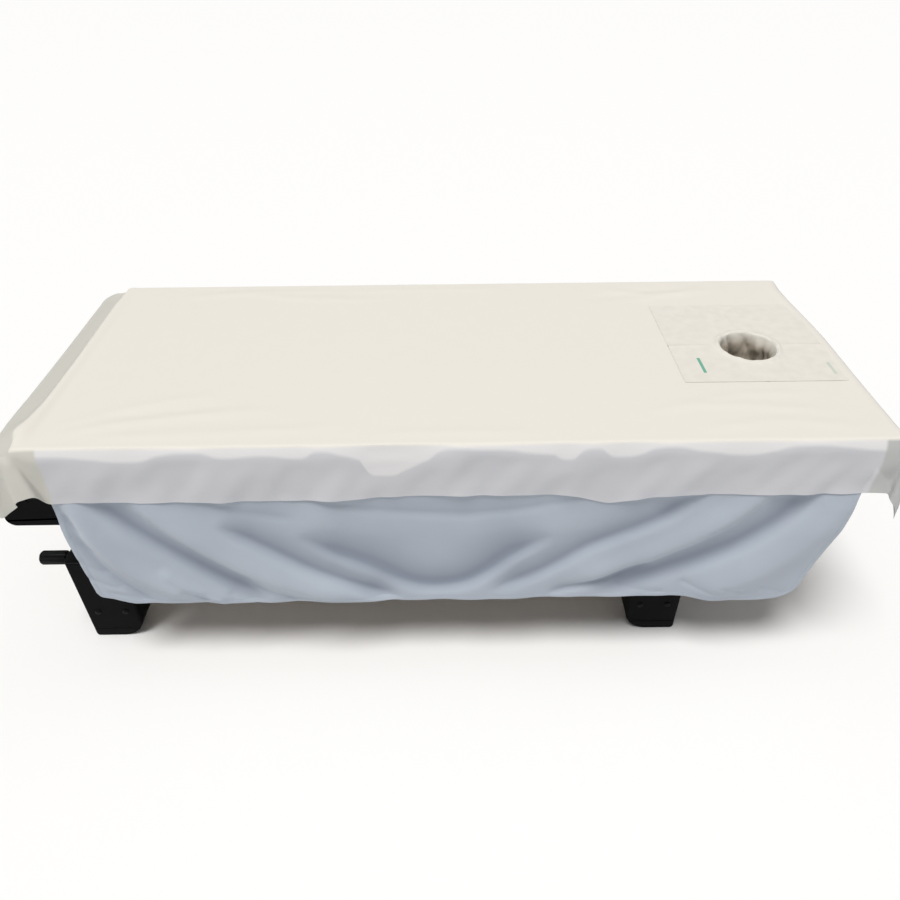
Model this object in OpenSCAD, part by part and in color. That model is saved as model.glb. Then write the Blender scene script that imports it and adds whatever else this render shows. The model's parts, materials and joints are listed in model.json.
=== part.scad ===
// Massage table with a breathing hole, dressed with a topper, a draped sheet,
// a disposable sheet and a face hole cover. It stands on two height-adjustable
// end frames: square posts that slide in boxed lower legs, held by clamp knobs.
// +X points to the head end, +Z up, origin on the floor under the table's middle.

/* [Table] */
// Length of the upholstered deck, foot end to head end
table_len = 1954; // [1850:2:2050]
// Width of the upholstered deck
table_w = 760; // [700:10:820]
// Height of the dressed top above the floor
table_h = 680; // [660:5:720]
// Height of the wooden rails under the deck
rail_h = 99; // [80:1:110]
// Thickness of the rails
rail_t = 25; // [20:1:30]
// Thickness of the deck panel
panel_t = 18; // [15:1:22]

/* [Padding] */
// Thickness of the upholstered deck pad
pad_t = 80; // [50:1:90]
// Rounding of the pad's foot end
pad_foot_r = 40; // [20:1:45]
// Rounding of the pad's head end
pad_head_r = 14; // [8:1:20]
// Thickness of the loose topper
topper_t = 26; // [20:1:40]
// Gap between the foot end of the deck and the topper
topper_gap = 86; // [60:1:120]
// Thickness of the vinyl cover
vinyl_t = 1.2; // [1:0.1:2]

/* [Breathing hole] */
// Diameter of the hole through the padding
hole_d = 152; // [140:2:160]
// Distance from the head end to the middle of the hole
hole_from_head = 189; // [175:1:240]
// Inner diameter of the plastic ring under the deck
ring_d = 146; // [136:2:146]

/* [Sheets] */
// Modelled thickness of the draped sheet
sheet_t = 2; // [1.5:0.5:3]
// Length of the draped sheet along the table
sheet_len = 1780; // [1600:10:1850]
// How far the draped sheet's middle lies toward the head end
sheet_shift = 53; // [0:1:60]
// Drop of the draped sheet below the dressed top
sheet_drop = 470; // [300:10:520]
// Modelled thickness of the disposable sheet and of the face hole cover
film_t = 1; // [0.8:0.1:1.2]
// Drop of the disposable sheet below the dressed top
film_drop = 130; // [100:5:150]
// Side of the square face hole cover
cover_side = 388; // [340:2:400]
// Depth to which the film edges are tucked into the hole
tuck_depth = 74; // [50:1:76]

/* [Legs] */
// Width of a boxed lower leg along the table
leg_w = 135; // [120:1:150]
// Depth of a boxed lower leg across the table
leg_d = 80; // [76:1:90]
// Height of the top of the boxed lower leg
leg_h = 277; // [270:1:300]
// Wall thickness of the boxed lower leg
leg_wall = 12; // [10:1:14]
// Side of the square post
post_side = 50; // [40:1:50]
// Wall thickness of the square post
post_wall = 3; // [2:0.5:4]
// Distance from the deck's side to the leg's outer face
leg_inset = 50; // [40:1:70]
// Distance from the deck's foot end to the foot legs
foot_leg_inset = 52; // [40:1:120]
// Distance from the deck's head end to the head legs
head_leg_inset = 339; // [250:1:380]
// Height of the rubber foot
foot_h = 28; // [20:1:32]

/* [Clamp knobs] */
// Diameter of the fluted grip
grip_d = 36; // [32:1:40]
// Length of the fluted grip
grip_len = 68; // [60:1:72]
// Height of the knob's axis above the floor
knob_z = 260; // [255:1:262]

/* [Hidden] */
$fn = 64;

// Colours
black_lacquer = [0.05, 0.05, 0.055];
black_vinyl = [0.04, 0.04, 0.045];
black_steel = [0.09, 0.09, 0.1];
black_plastic = [0.07, 0.07, 0.075];
rubber_black = [0.03, 0.03, 0.03];
zinc = [0.7, 0.71, 0.72];
ply = [0.76, 0.62, 0.42];
foam_grey = [0.72, 0.72, 0.7];
foam_cream = [0.93, 0.88, 0.74];
cream = [0.92, 0.9, 0.84];
sky_cloth = [0.68, 0.75, 0.83];
film_white = [0.93, 0.92, 0.89];
cover_white = [0.9, 0.9, 0.87];

half_len = table_len / 2;
half_w = table_w / 2;
hole_x = half_len - hole_from_head;
hole_r = hole_d / 2;

// Heights of the stack, from the dressed top down
cover_top = table_h;
film_top = cover_top - film_t;
topper_top = film_top - film_t;
topper_bottom = topper_top - topper_t;
pad_top = topper_bottom - sheet_t;
panel_top = pad_top - pad_t;
rail_top = panel_top - panel_t;
rail_bottom = rail_top - rail_h;

// Legs: places of the four leg middles
foot_leg_x = -half_len + foot_leg_inset + leg_w / 2;
head_leg_x = half_len - head_leg_inset - leg_w / 2;
leg_y = half_w - leg_inset - leg_d / 2;
bearer_h = 45;
bearer_w = 140;
flange_t = 6;
flange_w = 110;
flange_d = 76;
post_top = rail_top - bearer_h;
travel_down = 40;
travel_up = 45;
guide_h = 62;
guide_lip = 4;
post_gap = 0.3;
glide_h = 12;
glide_gap = 0.5;
post_bottom = leg_h - guide_h - travel_up - glide_h - 3;
block_top = post_bottom - travel_down - 3;
crossbar_h = 24;
crossbar_w = 100;
crossbar_z = block_top - crossbar_h - 5;
crossbar_bolt_x = 36;
crossbar_bolt_r = 4;
crossbar_bolt_in = 50;
sole_outer_r = 12;
sole_inner_r = 60;
sole_screws_x = [42, -6];
guide_screw_z = leg_h - 28;

// Clamp knob: distances along its axis, from the post's face outward
knob_screw_r = 5;
knob_tip = post_side / 2 + 0.3;
pressure_pad_r = 9.5;
pressure_pad_t = 3.5;
insert_r = 8;
neck_len = 6;
neck_z = leg_w / 2 + 2.4;
grip_end = neck_z + neck_len + grip_len;
socket_end = 25;

// ---------- shared shapes ----------

module rounded_rect(l, w, r) {
    square([l - 2 * r, w], center = true);
    square([l, w - 2 * r], center = true);
    for (sx = [-1, 1], sy = [-1, 1])
        translate([sx * (l / 2 - r), sy * (w / 2 - r)]) circle(r = r);
}

// Slab with rounded upright edges, from z0 to z1, over x0 to x1
module slab(x0, x1, w, z0, z1, r) {
    translate([(x0 + x1) / 2, 0, z0])
        linear_extrude(z1 - z0) rounded_rect(x1 - x0, w, r);
}

// Side view of a pad with its two top edges rounded
module pad_side(x0, x1, z0, z1, r0, r1) {
    translate([x0, z0]) square([x1 - x0, z1 - z0 - max(r0, r1)]);
    translate([x0 + r0, z0]) square([x1 - x0 - r0 - r1, z1 - z0]);
    translate([x0 + r0, z1 - r0]) circle(r = r0);
    translate([x1 - r1, z1 - r1]) circle(r = r1);
    translate([x1 - r1, z0]) square([r1, z1 - z0 - r1]);
}

// Pad with a rounded plan and rounded ends
module pad(x0, x1, w, z0, z1, r0, r1, plan_r) {
    intersection() {
        slab(x0, x1, w, z0, z1, plan_r);
        translate([0, w / 2 + 1, 0]) rotate([90, 0, 0])
            linear_extrude(w + 2) pad_side(x0, x1, z0, z1, r0, r1);
    }
}

module at_hole(z = 0) {
    translate([hole_x, 0, z]) children();
}

module sleeve(r_in, wall, z0, z1) {
    at_hole(z0) difference() {
        cylinder(r = r_in + wall, h = z1 - z0);
        translate([0, 0, -1]) cylinder(r = r_in, h = z1 - z0 + 2);
    }
}

// Places children at both legs of an end frame, front first
module at_leg_pair(x) {
    for (sy = [-1, 1]) translate([x, sy * leg_y, 0]) mirror([0, sy > 0 ? 1 : 0, 0]) children();
}

// ---------- deck frame ----------

rail_in = 2;
rail_foot_end = -half_len + rail_in;
rail_head_end = half_len - 44;
inner_w = table_w - 2 * rail_t - 2 * rail_in;

// Outer face of an end rail, 12 mm inside the ends of the long rails
function end_face(sx) = sx < 0 ? rail_foot_end + 12 : rail_head_end - 12;

module long_rail(side) {
    r = 22;
    rail_len = rail_head_end - rail_foot_end;
    rail_mid = (rail_head_end + rail_foot_end) / 2;
    color(black_lacquer)
    difference() {
        translate([rail_mid, side * (half_w - rail_t / 2 - rail_in) + rail_t / 2, (rail_top + rail_bottom) / 2])
            rotate([90, 0, 0]) linear_extrude(rail_t) union() {
                rounded_rect(rail_len, rail_h, r);
                translate([-rail_len / 2, 0]) square([rail_len, rail_h / 2]);
            }
        at_bracket_screws() bracket_screw_hole();
        at_deck_screws() deck_screw_hole();
        at_frame_screws() frame_screw_hole();
    }
}

module end_rail(side) {
    color(black_lacquer)
    difference() {
        translate([end_face(side) - (side + 1) / 2 * rail_t, -inner_w / 2, rail_bottom + 8])
            cube([rail_t, inner_w, rail_h - 8]);
        at_bracket_screws() bracket_screw_hole();
        at_deck_screws() deck_screw_hole();
    }
}

bracket_leg = 60;
bracket_h = 42;
bracket_t = 3;
bracket_y = half_w - rail_in - rail_t;
bracket_z = rail_bottom + 10;

// Inner face of an end rail, where its brackets lie
function bracket_x(sx) = end_face(sx) - sx * rail_t;

module corner_brackets() {
    color(zinc)
    for (sx = [-1, 1], sy = [-1, 1])
        difference() {
            translate([0, 0, bracket_z + bracket_h / 2]) union() {
                translate([bracket_x(sx) - sx * bracket_t / 2, sy * (bracket_y - bracket_leg / 2), 0])
                    cube([bracket_t, bracket_leg, bracket_h], center = true);
                translate([bracket_x(sx) - sx * bracket_leg / 2, sy * (bracket_y - bracket_t / 2), 0])
                    cube([bracket_leg, bracket_t, bracket_h], center = true);
            }
            at_bracket_screws() translate([0, 0, -10]) cylinder(r = 2.3, h = 40);
        }
}

// Places children at each bracket screw, +Z pointing into the rail
module at_bracket_screws() {
    for (sx = [-1, 1], sy = [-1, 1], dz = [10, 32]) {
        translate([bracket_x(sx) - sx * bracket_t, sy * (bracket_y - 40), bracket_z + dz])
            rotate([0, sx * 90, 0]) children();
        translate([bracket_x(sx) - sx * 40, sy * (bracket_y - bracket_t), bracket_z + dz])
            rotate([-sy * 90, 0, 0]) children();
    }
}

module bracket_screw_hole() {
    translate([0, 0, -1]) cylinder(r = 2.2, h = 19);
}

module bracket_screws() {
    color(zinc) at_bracket_screws() {
        cylinder(r = 2, h = 17);
        translate([0, 0, -2.5]) cylinder(r = 4.2, h = 2.5);
    }
}

module leg_bearer(x) {
    color(ply)
    difference() {
        translate([x - bearer_w / 2, -inner_w / 2, post_top]) cube([bearer_w, inner_w, bearer_h]);
        at_leg_pair(x) at_flange_bolts() translate([0, 0, -1]) cylinder(r = 4.2, h = 36);
        at_frame_screws() frame_screw_hole();
    }
}

slat_w = 40;
slat_h = 50;
slat_n = 3;
slat_step = (head_leg_x - foot_leg_x) / (slat_n + 1);

module deck_slats() {
    color(ply) difference() {
        for (i = [1 : slat_n])
            translate([foot_leg_x + i * slat_step - slat_w / 2, -inner_w / 2, rail_top - slat_h])
                cube([slat_w, inner_w, slat_h]);
        at_frame_screws() frame_screw_hole();
    }
}

// Places children at each screw through a long rail into a bearer or slat, +Z pointing inward
module at_frame_screws() {
    bearer_screws = [for (x = [foot_leg_x, head_leg_x], dx = [-45, 45]) x + dx];
    slat_screws = [for (i = [1 : slat_n]) foot_leg_x + i * slat_step];
    for (x = concat(bearer_screws, slat_screws), sy = [-1, 1])
        translate([x, sy * (half_w - rail_in), rail_top - 22]) rotate([sy * 90, 0, 0]) children();
}

module frame_screw_hole() {
    cylinder(r = 2.2, h = 52);
    translate([0, 0, -1]) cylinder(r = 4.8, h = 4);
}

module frame_screws() {
    color(zinc) at_frame_screws() {
        translate([0, 0, 0.4]) cylinder(r = 4.5, h = 2.6);
        translate([0, 0, 3]) cylinder(r = 2, h = 47);
    }
}

// ---------- deck and padding ----------

deck_screw_n = 5;

// Places children at each deck screw, +Z up, at the panel's top face
module at_deck_screws() {
    for (i = [0 : deck_screw_n - 1], sy = [-1, 1])
        translate([-half_len + 120 + i * (table_len - 240) / (deck_screw_n - 1),
                   sy * (half_w - rail_in - rail_t / 2), panel_top]) children();
    for (sx = [-1, 1], y = [-200, 200])
        translate([end_face(sx) - sx * rail_t / 2, y, panel_top]) children();
}

module deck_screw_hole() {
    translate([0, 0, -46]) cylinder(r = 2.2, h = 47);
    translate([0, 0, -3]) cylinder(r = 4.3, h = 4);
}

module deck_panel() {
    color(ply)
    difference() {
        slab(-half_len + vinyl_t, half_len - vinyl_t, table_w - 2 * vinyl_t, rail_top, panel_top, 28);
        at_hole(rail_top - 1) cylinder(r = hole_r, h = panel_t + 2);
        at_deck_screws() deck_screw_hole();
        at_ring_screws() translate([0, 0, -1]) cylinder(r = 1.8, h = 15);
    }
}

module deck_screws() {
    color(zinc) at_deck_screws() {
        translate([0, 0, -44]) cylinder(r = 2, h = 42);
        translate([0, 0, -3]) cylinder(r = 4, h = 2.5);
    }
}

ring_flange_r = 96;
ring_flange_t = 3;
ring_top = rail_top + 48;

module at_ring_screws() {
    for (a = [45 : 90 : 315])
        at_hole(rail_top) rotate([0, 0, a]) translate([(hole_r + ring_flange_r) / 2, 0, 0]) children();
}

module hole_ring() {
    color(black_plastic)
    difference() {
        union() {
            at_hole(rail_top - ring_flange_t) cylinder(r = ring_flange_r, h = ring_flange_t);
            at_hole(rail_top - 1) cylinder(r = hole_r - 0.3, h = ring_top - rail_top + 1);
        }
        at_hole(rail_top - ring_flange_t - 1)
            cylinder(d = ring_d, h = ring_top - rail_top + ring_flange_t + 2);
        at_ring_screws() translate([0, 0, -5]) cylinder(r = 2, h = 10);
    }
}

module hole_ring_screws() {
    color(zinc) at_ring_screws() {
        translate([0, 0, -ring_flange_t - 2]) cylinder(r = 3.6, h = 2);
        translate([0, 0, -ring_flange_t]) cylinder(r = 1.7, h = 15);
    }
}

module deck_foam() {
    color(foam_grey)
    difference() {
        pad(-half_len + vinyl_t, half_len - vinyl_t, table_w - 2 * vinyl_t, panel_top, pad_top - vinyl_t,
            pad_foot_r - vinyl_t, pad_head_r - vinyl_t, 28);
        at_hole(panel_top - 1) cylinder(r = hole_r + vinyl_t, h = pad_t + 2);
    }
}

module vinyl_cover() {
    color(black_vinyl) {
        difference() {
            pad(-half_len, half_len, table_w, rail_top, pad_top, pad_foot_r, pad_head_r, 30);
            pad(-half_len + vinyl_t, half_len - vinyl_t, table_w - 2 * vinyl_t, rail_top - 1,
                pad_top - vinyl_t, pad_foot_r - vinyl_t, pad_head_r - vinyl_t, 28);
            at_hole(pad_top - 10) cylinder(r = hole_r, h = 20);
        }
        sleeve(hole_r, vinyl_t, panel_top, pad_top - vinyl_t);
    }
}

topper_x0 = -half_len + topper_gap;

module topper_foam() {
    color(foam_cream)
    difference() {
        slab(topper_x0 + 1, half_len - 1, table_w - 2, topper_bottom + 1, topper_top - 1, 29);
        at_hole(topper_bottom) cylinder(r = hole_r + 1, h = topper_t);
    }
}

module topper_cover() {
    color(cream) {
        difference() {
            slab(topper_x0, half_len, table_w, topper_bottom, topper_top, 30);
            slab(topper_x0 + 1, half_len - 1, table_w - 2, topper_bottom + 1, topper_top - 1, 29);
            at_hole(topper_bottom - 1) cylinder(r = hole_r, h = topper_t + 2);
        }
        sleeve(hole_r, 1, topper_bottom + 1, topper_top - 1);
    }
}

// ---------- sheets ----------

drape_gap = 10;
drape_corner = 60;

// Upright panel of the draped sheet, its lower corners rounded
module drape_panel(y0) {
    h = sheet_drop - (cover_top - topper_bottom);
    translate([sheet_shift, y0 + sheet_t, topper_bottom - h / 2]) rotate([90, 0, 0])
        linear_extrude(sheet_t) union() {
            rounded_rect(sheet_len, h, drape_corner);
            translate([-sheet_len / 2, 0]) square([sheet_len, h / 2]);
        }
}

module draped_sheet() {
    reach = half_w + drape_gap + sheet_t;
    color(sky_cloth) {
        difference() {
            translate([sheet_shift - sheet_len / 2, -reach, pad_top]) cube([sheet_len, 2 * reach, sheet_t]);
            at_hole(pad_top - 1) cylinder(r = hole_r, h = sheet_t + 2);
        }
        drape_panel(-reach);
        drape_panel(reach - sheet_t);
    }
}

film_gap = drape_gap + sheet_t + 2;
film_end_gap = 8;
film_r = 44;

// Side view of the space under the disposable sheet, grown by t
module film_side(t) {
    x_foot = -half_len - film_end_gap - t;
    x_head = half_len + film_end_gap + t;
    z_low = cover_top - film_drop;
    z_top = topper_top + t;
    corner_x = x_foot + film_r + t;
    corner_z = pad_top - 4 - film_r + 8;
    translate([x_foot, z_low - 1 + t]) square([film_r + t, corner_z - z_low + 1 - t]);
    translate([corner_x, corner_z]) circle(r = film_r + t);
    polygon([
        [corner_x, z_low - 1 + t],
        [x_head, z_low - 1 + t],
        [x_head, z_top],
        [topper_x0 - 4, z_top],
        [corner_x - (film_r + t) * cos(67), corner_z + (film_r + t) * sin(67)]
    ]);
}

module disposable_sheet() {
    w_in = 2 * (half_w + film_gap);
    color(film_white) {
        difference() {
            intersection() {
                slab(-half_len - film_end_gap - film_t, half_len + film_end_gap + film_t,
                     w_in + 2 * film_t, cover_top - film_drop, film_top, 30);
                translate([0, w_in / 2 + 5, 0]) rotate([90, 0, 0])
                    linear_extrude(w_in + 10) film_side(film_t);
            }
            intersection() {
                slab(-half_len - film_end_gap, half_len + film_end_gap, w_in,
                     cover_top - film_drop - 5, topper_top, 29);
                translate([0, w_in / 2 + 5, 0]) rotate([90, 0, 0]) linear_extrude(w_in + 10)
                    translate([0, -1]) union() {
                        translate([0, 1]) film_side(0);
                        film_side(0);
                    }
            }
            at_hole(topper_top - 10) cylinder(r = hole_r - 1.5, h = 20);
        }
        sleeve(hole_r - 1.5, film_t, cover_top - tuck_depth, topper_top);
    }
}

module face_hole_cover() {
    y_shift = 33;
    color(cover_white) {
        difference() {
            translate([half_len - cover_side, y_shift - cover_side / 2, film_top])
                cube([cover_side - 2, cover_side, film_t]);
            at_hole(film_top - 1) cylinder(r = hole_r - 2.8, h = film_t + 2);
        }
        sleeve(hole_r - 2.8, film_t, cover_top - tuck_depth, film_top);
    }
}

// ---------- posts, fixed under the deck ----------

module at_flange_bolts() {
    for (dx = [-43, 43], dy = [-27, 27]) translate([dx, dy, post_top]) children();
}

module leg_post(x, side) {
    post_bore = post_side - 2 * post_wall;
    color(black_steel)
    translate([x, side * leg_y, 0]) {
        difference() {
            union() {
                translate([-post_side / 2, -post_side / 2, post_bottom])
                    cube([post_side, post_side, post_top - flange_t - post_bottom]);
                translate([-flange_w / 2, -flange_d / 2, post_top - flange_t])
                    cube([flange_w, flange_d, flange_t]);
            }
            translate([-post_bore / 2, -post_bore / 2, post_bottom - 1])
                cube([post_bore, post_bore, post_top - flange_t - post_bottom + 1]);
            at_flange_bolts() translate([0, 0, -flange_t - 1]) cylinder(r = 4.5, h = flange_t + 2);
        }
    }
}

cavity_w = leg_w - 2 * leg_wall;
cavity_d = leg_d - 2 * leg_wall;

module post_glides() {
    color(black_plastic)
    for (x = [foot_leg_x, head_leg_x]) at_leg_pair(x)
        translate([0, 0, post_bottom]) difference() {
            translate([-cavity_w / 2 + glide_gap, -cavity_d / 2 + glide_gap, 0])
                cube([cavity_w - 2 * glide_gap, cavity_d - 2 * glide_gap, glide_h]);
            translate([-post_side / 2, -post_side / 2, -1]) cube([post_side, post_side, glide_h + 2]);
        }
}

module post_bolts() {
    color(zinc)
    for (x = [foot_leg_x, head_leg_x]) at_leg_pair(x) at_flange_bolts() {
        cylinder(r = 4, h = 32);
        translate([0, 0, -flange_t]) cylinder(r = 4, h = flange_t);
        translate([0, 0, -flange_t - 5.5]) cylinder(r = 7, h = 5.5, $fn = 6);
    }
}

// ---------- lower leg frames; out is -1 at the foot end and 1 at the head end ----------

// Prism with a leg's side view: a tight outer lower corner and a wide inner one
module leg_outline(out) {
    inner_x = sole_inner_r - leg_w / 2;
    outer_x = leg_w / 2 - sole_outer_r;
    mirror([out < 0 ? 1 : 0, 0, 0]) translate([0, leg_d, 0]) rotate([90, 0, 0]) linear_extrude(2 * leg_d) {
        translate([-leg_w / 2, sole_inner_r]) square([leg_w, leg_h - sole_inner_r]);
        translate([inner_x, sole_inner_r]) circle(r = sole_inner_r);
        translate([inner_x, 0]) square([outer_x - inner_x, sole_inner_r]);
        translate([inner_x, sole_outer_r]) square([leg_w / 2 - inner_x, sole_inner_r - sole_outer_r]);
        translate([outer_x, sole_outer_r]) circle(r = sole_outer_r);
    }
}

module lower_leg(x, side, out) {
    color(black_lacquer)
    translate([x, side * leg_y, 0]) mirror([0, side > 0 ? 1 : 0, 0]) difference() {
        intersection() {
            translate([0, 0, foot_h]) linear_extrude(leg_h - foot_h) rounded_rect(leg_w, leg_d, 6);
            leg_outline(out);
        }
        translate([-cavity_w / 2, -cavity_d / 2, block_top]) cube([cavity_w, cavity_d, leg_h]);
        translate([out * leg_w / 2, 0, knob_z]) rotate([0, 90, 0])
            cylinder(r = insert_r, h = 3 * leg_wall, center = true);
        at_crossbar_bolts() translate([0, 0, -1]) cylinder(r = crossbar_bolt_r + 0.1, h = leg_d + 2);
        at_sole_screws(out) translate([0, 0, foot_h - 1]) cylinder(r = 2.3, h = leg_wall + 2);
        at_guide_screws() translate([0, 0, -1]) cylinder(r = 2.4, h = leg_wall + 2);
    }
}

// Places children at a leg's crossbar bolts, +Z pointing from the outer face inward
module at_crossbar_bolts() {
    for (dx = [-crossbar_bolt_x, crossbar_bolt_x])
        translate([dx, -leg_d / 2, crossbar_z + crossbar_h / 2]) rotate([-90, 0, 0]) children();
}

module at_sole_screws(out) {
    for (dx = sole_screws_x) translate([out * dx, 0, 0]) children();
}

// Places children at a leg's guide screws, +Z pointing from the inner face outward
module at_guide_screws() {
    for (dx = [-38, 38]) translate([dx, leg_d / 2, guide_screw_z]) rotate([90, 0, 0]) children();
}

module leg_guides(x, out) {
    color(black_plastic) at_leg_pair(x) difference() {
        union() {
            translate([-cavity_w / 2, -cavity_d / 2, leg_h - guide_h]) cube([cavity_w, cavity_d, guide_h]);
            translate([0, 0, leg_h]) linear_extrude(guide_lip) rounded_rect(leg_w, leg_d, 6);
        }
        translate([-post_side / 2 - post_gap, -post_side / 2 - post_gap, leg_h - guide_h - 1])
            cube([post_side + 2 * post_gap, post_side + 2 * post_gap, guide_h + guide_lip + 2]);
        translate([0, 0, knob_z]) rotate([0, out * 90, 0]) {
            cylinder(r = knob_screw_r + 1, h = cavity_w / 2 + 1);
            cylinder(r = pressure_pad_r + 0.5, h = knob_tip + pressure_pad_t + 1);
        }
        at_guide_screws() cylinder(r = 2.2, h = leg_wall + 11);
    }
}

module clamp_inserts(x, out) {
    color(zinc) at_leg_pair(x) translate([0, 0, knob_z]) rotate([0, out * 90, 0]) difference() {
        union() {
            translate([0, 0, leg_w / 2 - leg_wall]) cylinder(r = insert_r - 0.05, h = leg_wall);
            translate([0, 0, leg_w / 2]) cylinder(r = 12, h = 2);
        }
        cylinder(r = knob_screw_r + 0.08, h = leg_w);
    }
}

module crossbar(x) {
    color(black_lacquer)
    difference() {
        translate([x - crossbar_w / 2, -leg_y + leg_d / 2, crossbar_z])
            cube([crossbar_w, 2 * leg_y - leg_d, crossbar_h]);
        at_leg_pair(x) at_crossbar_bolts()
            cylinder(r = crossbar_bolt_r + 0.1, h = leg_d + crossbar_bolt_in + 2);
    }
}

module crossbar_bolts(x) {
    color(zinc) at_leg_pair(x) at_crossbar_bolts() {
        translate([0, 0, -3.5]) cylinder(r = 8, h = 3.5);
        cylinder(r = crossbar_bolt_r, h = leg_d + crossbar_bolt_in);
    }
}

module rubber_soles(x, out) {
    color(rubber_black) at_leg_pair(x) difference() {
        intersection() {
            linear_extrude(foot_h) rounded_rect(leg_w, leg_d, 6);
            leg_outline(out);
        }
        at_sole_screws(out) {
            translate([0, 0, -1]) cylinder(r = 5, h = 11);
            cylinder(r = 2.4, h = foot_h + 1);
        }
    }
}

module sole_screws(x, out) {
    color(zinc) at_leg_pair(x) at_sole_screws(out) {
        translate([0, 0, 7]) cylinder(r = 4.4, h = 3);
        translate([0, 0, 9]) cylinder(r = 2.1, h = foot_h + leg_wall - 10);
    }
}

module guide_screws(x) {
    color(zinc) at_leg_pair(x) at_guide_screws() {
        translate([0, 0, -2.4]) cylinder(r = 4.5, h = 2.4);
        cylinder(r = 2.1, h = leg_wall + 9);
    }
}

// ---------- clamp knobs, turning about an axis along X ----------

module at_knob(x, side, out) {
    translate([x, side * leg_y, knob_z]) rotate([0, out * 90, 0]) children();
}

module knob_screw(x, side, out) {
    shaft_z = knob_tip + pressure_pad_t;
    color(zinc) at_knob(x, side, out) {
        translate([0, 0, knob_tip]) cylinder(r = pressure_pad_r, h = pressure_pad_t);
        translate([0, 0, shaft_z]) cylinder(r = knob_screw_r, h = grip_end - socket_end - shaft_z);
    }
}

module knob_grip(x, side, out) {
    flutes = 8;
    flute_r = 7;
    edge = 6;
    color(black_plastic) at_knob(x, side, out) difference() {
        union() {
            translate([0, 0, neck_z]) cylinder(r1 = 13, r2 = 15, h = neck_len);
            translate([0, 0, neck_z + neck_len]) rotate_extrude() {
                square([grip_d / 2 - edge, grip_len]);
                translate([0, edge]) square([grip_d / 2, grip_len - 2 * edge]);
                for (z = [edge, grip_len - edge]) translate([grip_d / 2 - edge, z]) circle(r = edge);
            }
        }
        for (i = [0 : flutes - 1]) rotate([0, 0, (i + 0.5) * 360 / flutes])
            translate([grip_d / 2 + flute_r - 2.5, 0, neck_z + neck_len - 1])
                cylinder(r = flute_r, h = grip_len + 2);
        translate([0, 0, neck_z - 1])
            cylinder(r = knob_screw_r + 0.03, h = grip_end - socket_end - neck_z + 2);
    }
}

// ---------- one line per node ----------

long_rail(-1);  // front_rail
long_rail(1);  // back_rail
end_rail(-1);  // foot_rail
end_rail(1);  // head_rail
corner_brackets();
bracket_screws();
frame_screws();
leg_bearer(foot_leg_x);  // foot_leg_bearer
leg_bearer(head_leg_x);  // head_leg_bearer
deck_slats();
deck_panel();
deck_screws();
hole_ring();
hole_ring_screws();
deck_foam();
vinyl_cover();
draped_sheet();
topper_foam();
topper_cover();
disposable_sheet();
face_hole_cover();
leg_post(foot_leg_x, -1);  // foot_front_post
leg_post(foot_leg_x, 1);  // foot_back_post
leg_post(head_leg_x, -1);  // head_front_post
leg_post(head_leg_x, 1);  // head_back_post
post_glides();
post_bolts();
lower_leg(foot_leg_x, -1, -1);  // foot_front_leg
lower_leg(foot_leg_x, 1, -1);  // foot_back_leg
leg_guides(foot_leg_x, -1);  // foot_leg_guides
clamp_inserts(foot_leg_x, -1);  // foot_clamp_inserts
crossbar(foot_leg_x);  // foot_crossbar
crossbar_bolts(foot_leg_x);  // foot_crossbar_bolts
rubber_soles(foot_leg_x, -1);  // foot_end_soles
sole_screws(foot_leg_x, -1);  // foot_sole_screws
guide_screws(foot_leg_x);  // foot_guide_screws
lower_leg(head_leg_x, -1, 1);  // head_front_leg
lower_leg(head_leg_x, 1, 1);  // head_back_leg
leg_guides(head_leg_x, 1);  // head_leg_guides
clamp_inserts(head_leg_x, 1);  // head_clamp_inserts
crossbar(head_leg_x);  // head_crossbar
crossbar_bolts(head_leg_x);  // head_crossbar_bolts
rubber_soles(head_leg_x, 1);  // head_end_soles
sole_screws(head_leg_x, 1);  // head_sole_screws
guide_screws(head_leg_x);  // head_guide_screws
knob_grip(foot_leg_x, -1, -1);  // foot_front_knob_grip
knob_screw(foot_leg_x, -1, -1);  // foot_front_knob_screw
knob_grip(foot_leg_x, 1, -1);  // foot_back_knob_grip
knob_screw(foot_leg_x, 1, -1);  // foot_back_knob_screw
knob_grip(head_leg_x, -1, 1);  // head_front_knob_grip
knob_screw(head_leg_x, -1, 1);  // head_front_knob_screw
knob_grip(head_leg_x, 1, 1);  // head_back_knob_grip
knob_screw(head_leg_x, 1, 1);  // head_back_knob_screw
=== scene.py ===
import json
import math

import bmesh
import bpy
import numpy as np
from mathutils import Matrix, Vector, noise


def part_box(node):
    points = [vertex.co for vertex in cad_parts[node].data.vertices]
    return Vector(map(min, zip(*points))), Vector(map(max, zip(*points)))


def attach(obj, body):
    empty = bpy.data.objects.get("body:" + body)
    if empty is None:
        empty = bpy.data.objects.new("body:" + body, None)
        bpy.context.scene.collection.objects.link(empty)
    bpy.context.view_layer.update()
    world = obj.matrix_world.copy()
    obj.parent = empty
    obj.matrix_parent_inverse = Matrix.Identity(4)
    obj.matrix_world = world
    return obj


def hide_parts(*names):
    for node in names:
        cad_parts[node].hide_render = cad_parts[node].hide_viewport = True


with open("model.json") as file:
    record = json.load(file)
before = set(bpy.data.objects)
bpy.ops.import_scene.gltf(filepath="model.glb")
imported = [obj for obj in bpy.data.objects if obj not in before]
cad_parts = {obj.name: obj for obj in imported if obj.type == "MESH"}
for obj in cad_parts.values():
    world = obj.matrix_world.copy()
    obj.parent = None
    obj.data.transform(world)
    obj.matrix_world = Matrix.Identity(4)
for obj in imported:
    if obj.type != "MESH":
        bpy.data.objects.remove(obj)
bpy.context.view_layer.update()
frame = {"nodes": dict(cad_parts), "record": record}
nodes = frame["nodes"]
record = frame["record"]
body_of = {n: body for body, members in record["behaviour"]["bodies"].items() for n in members}

# ---------------------------------------------------------------------------------------------
# The studio: a wide pale floor that runs past the picture, an even white surround, and one broad
# soft light from high in front of the long side, so that the drops' folds are lit from above.


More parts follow.
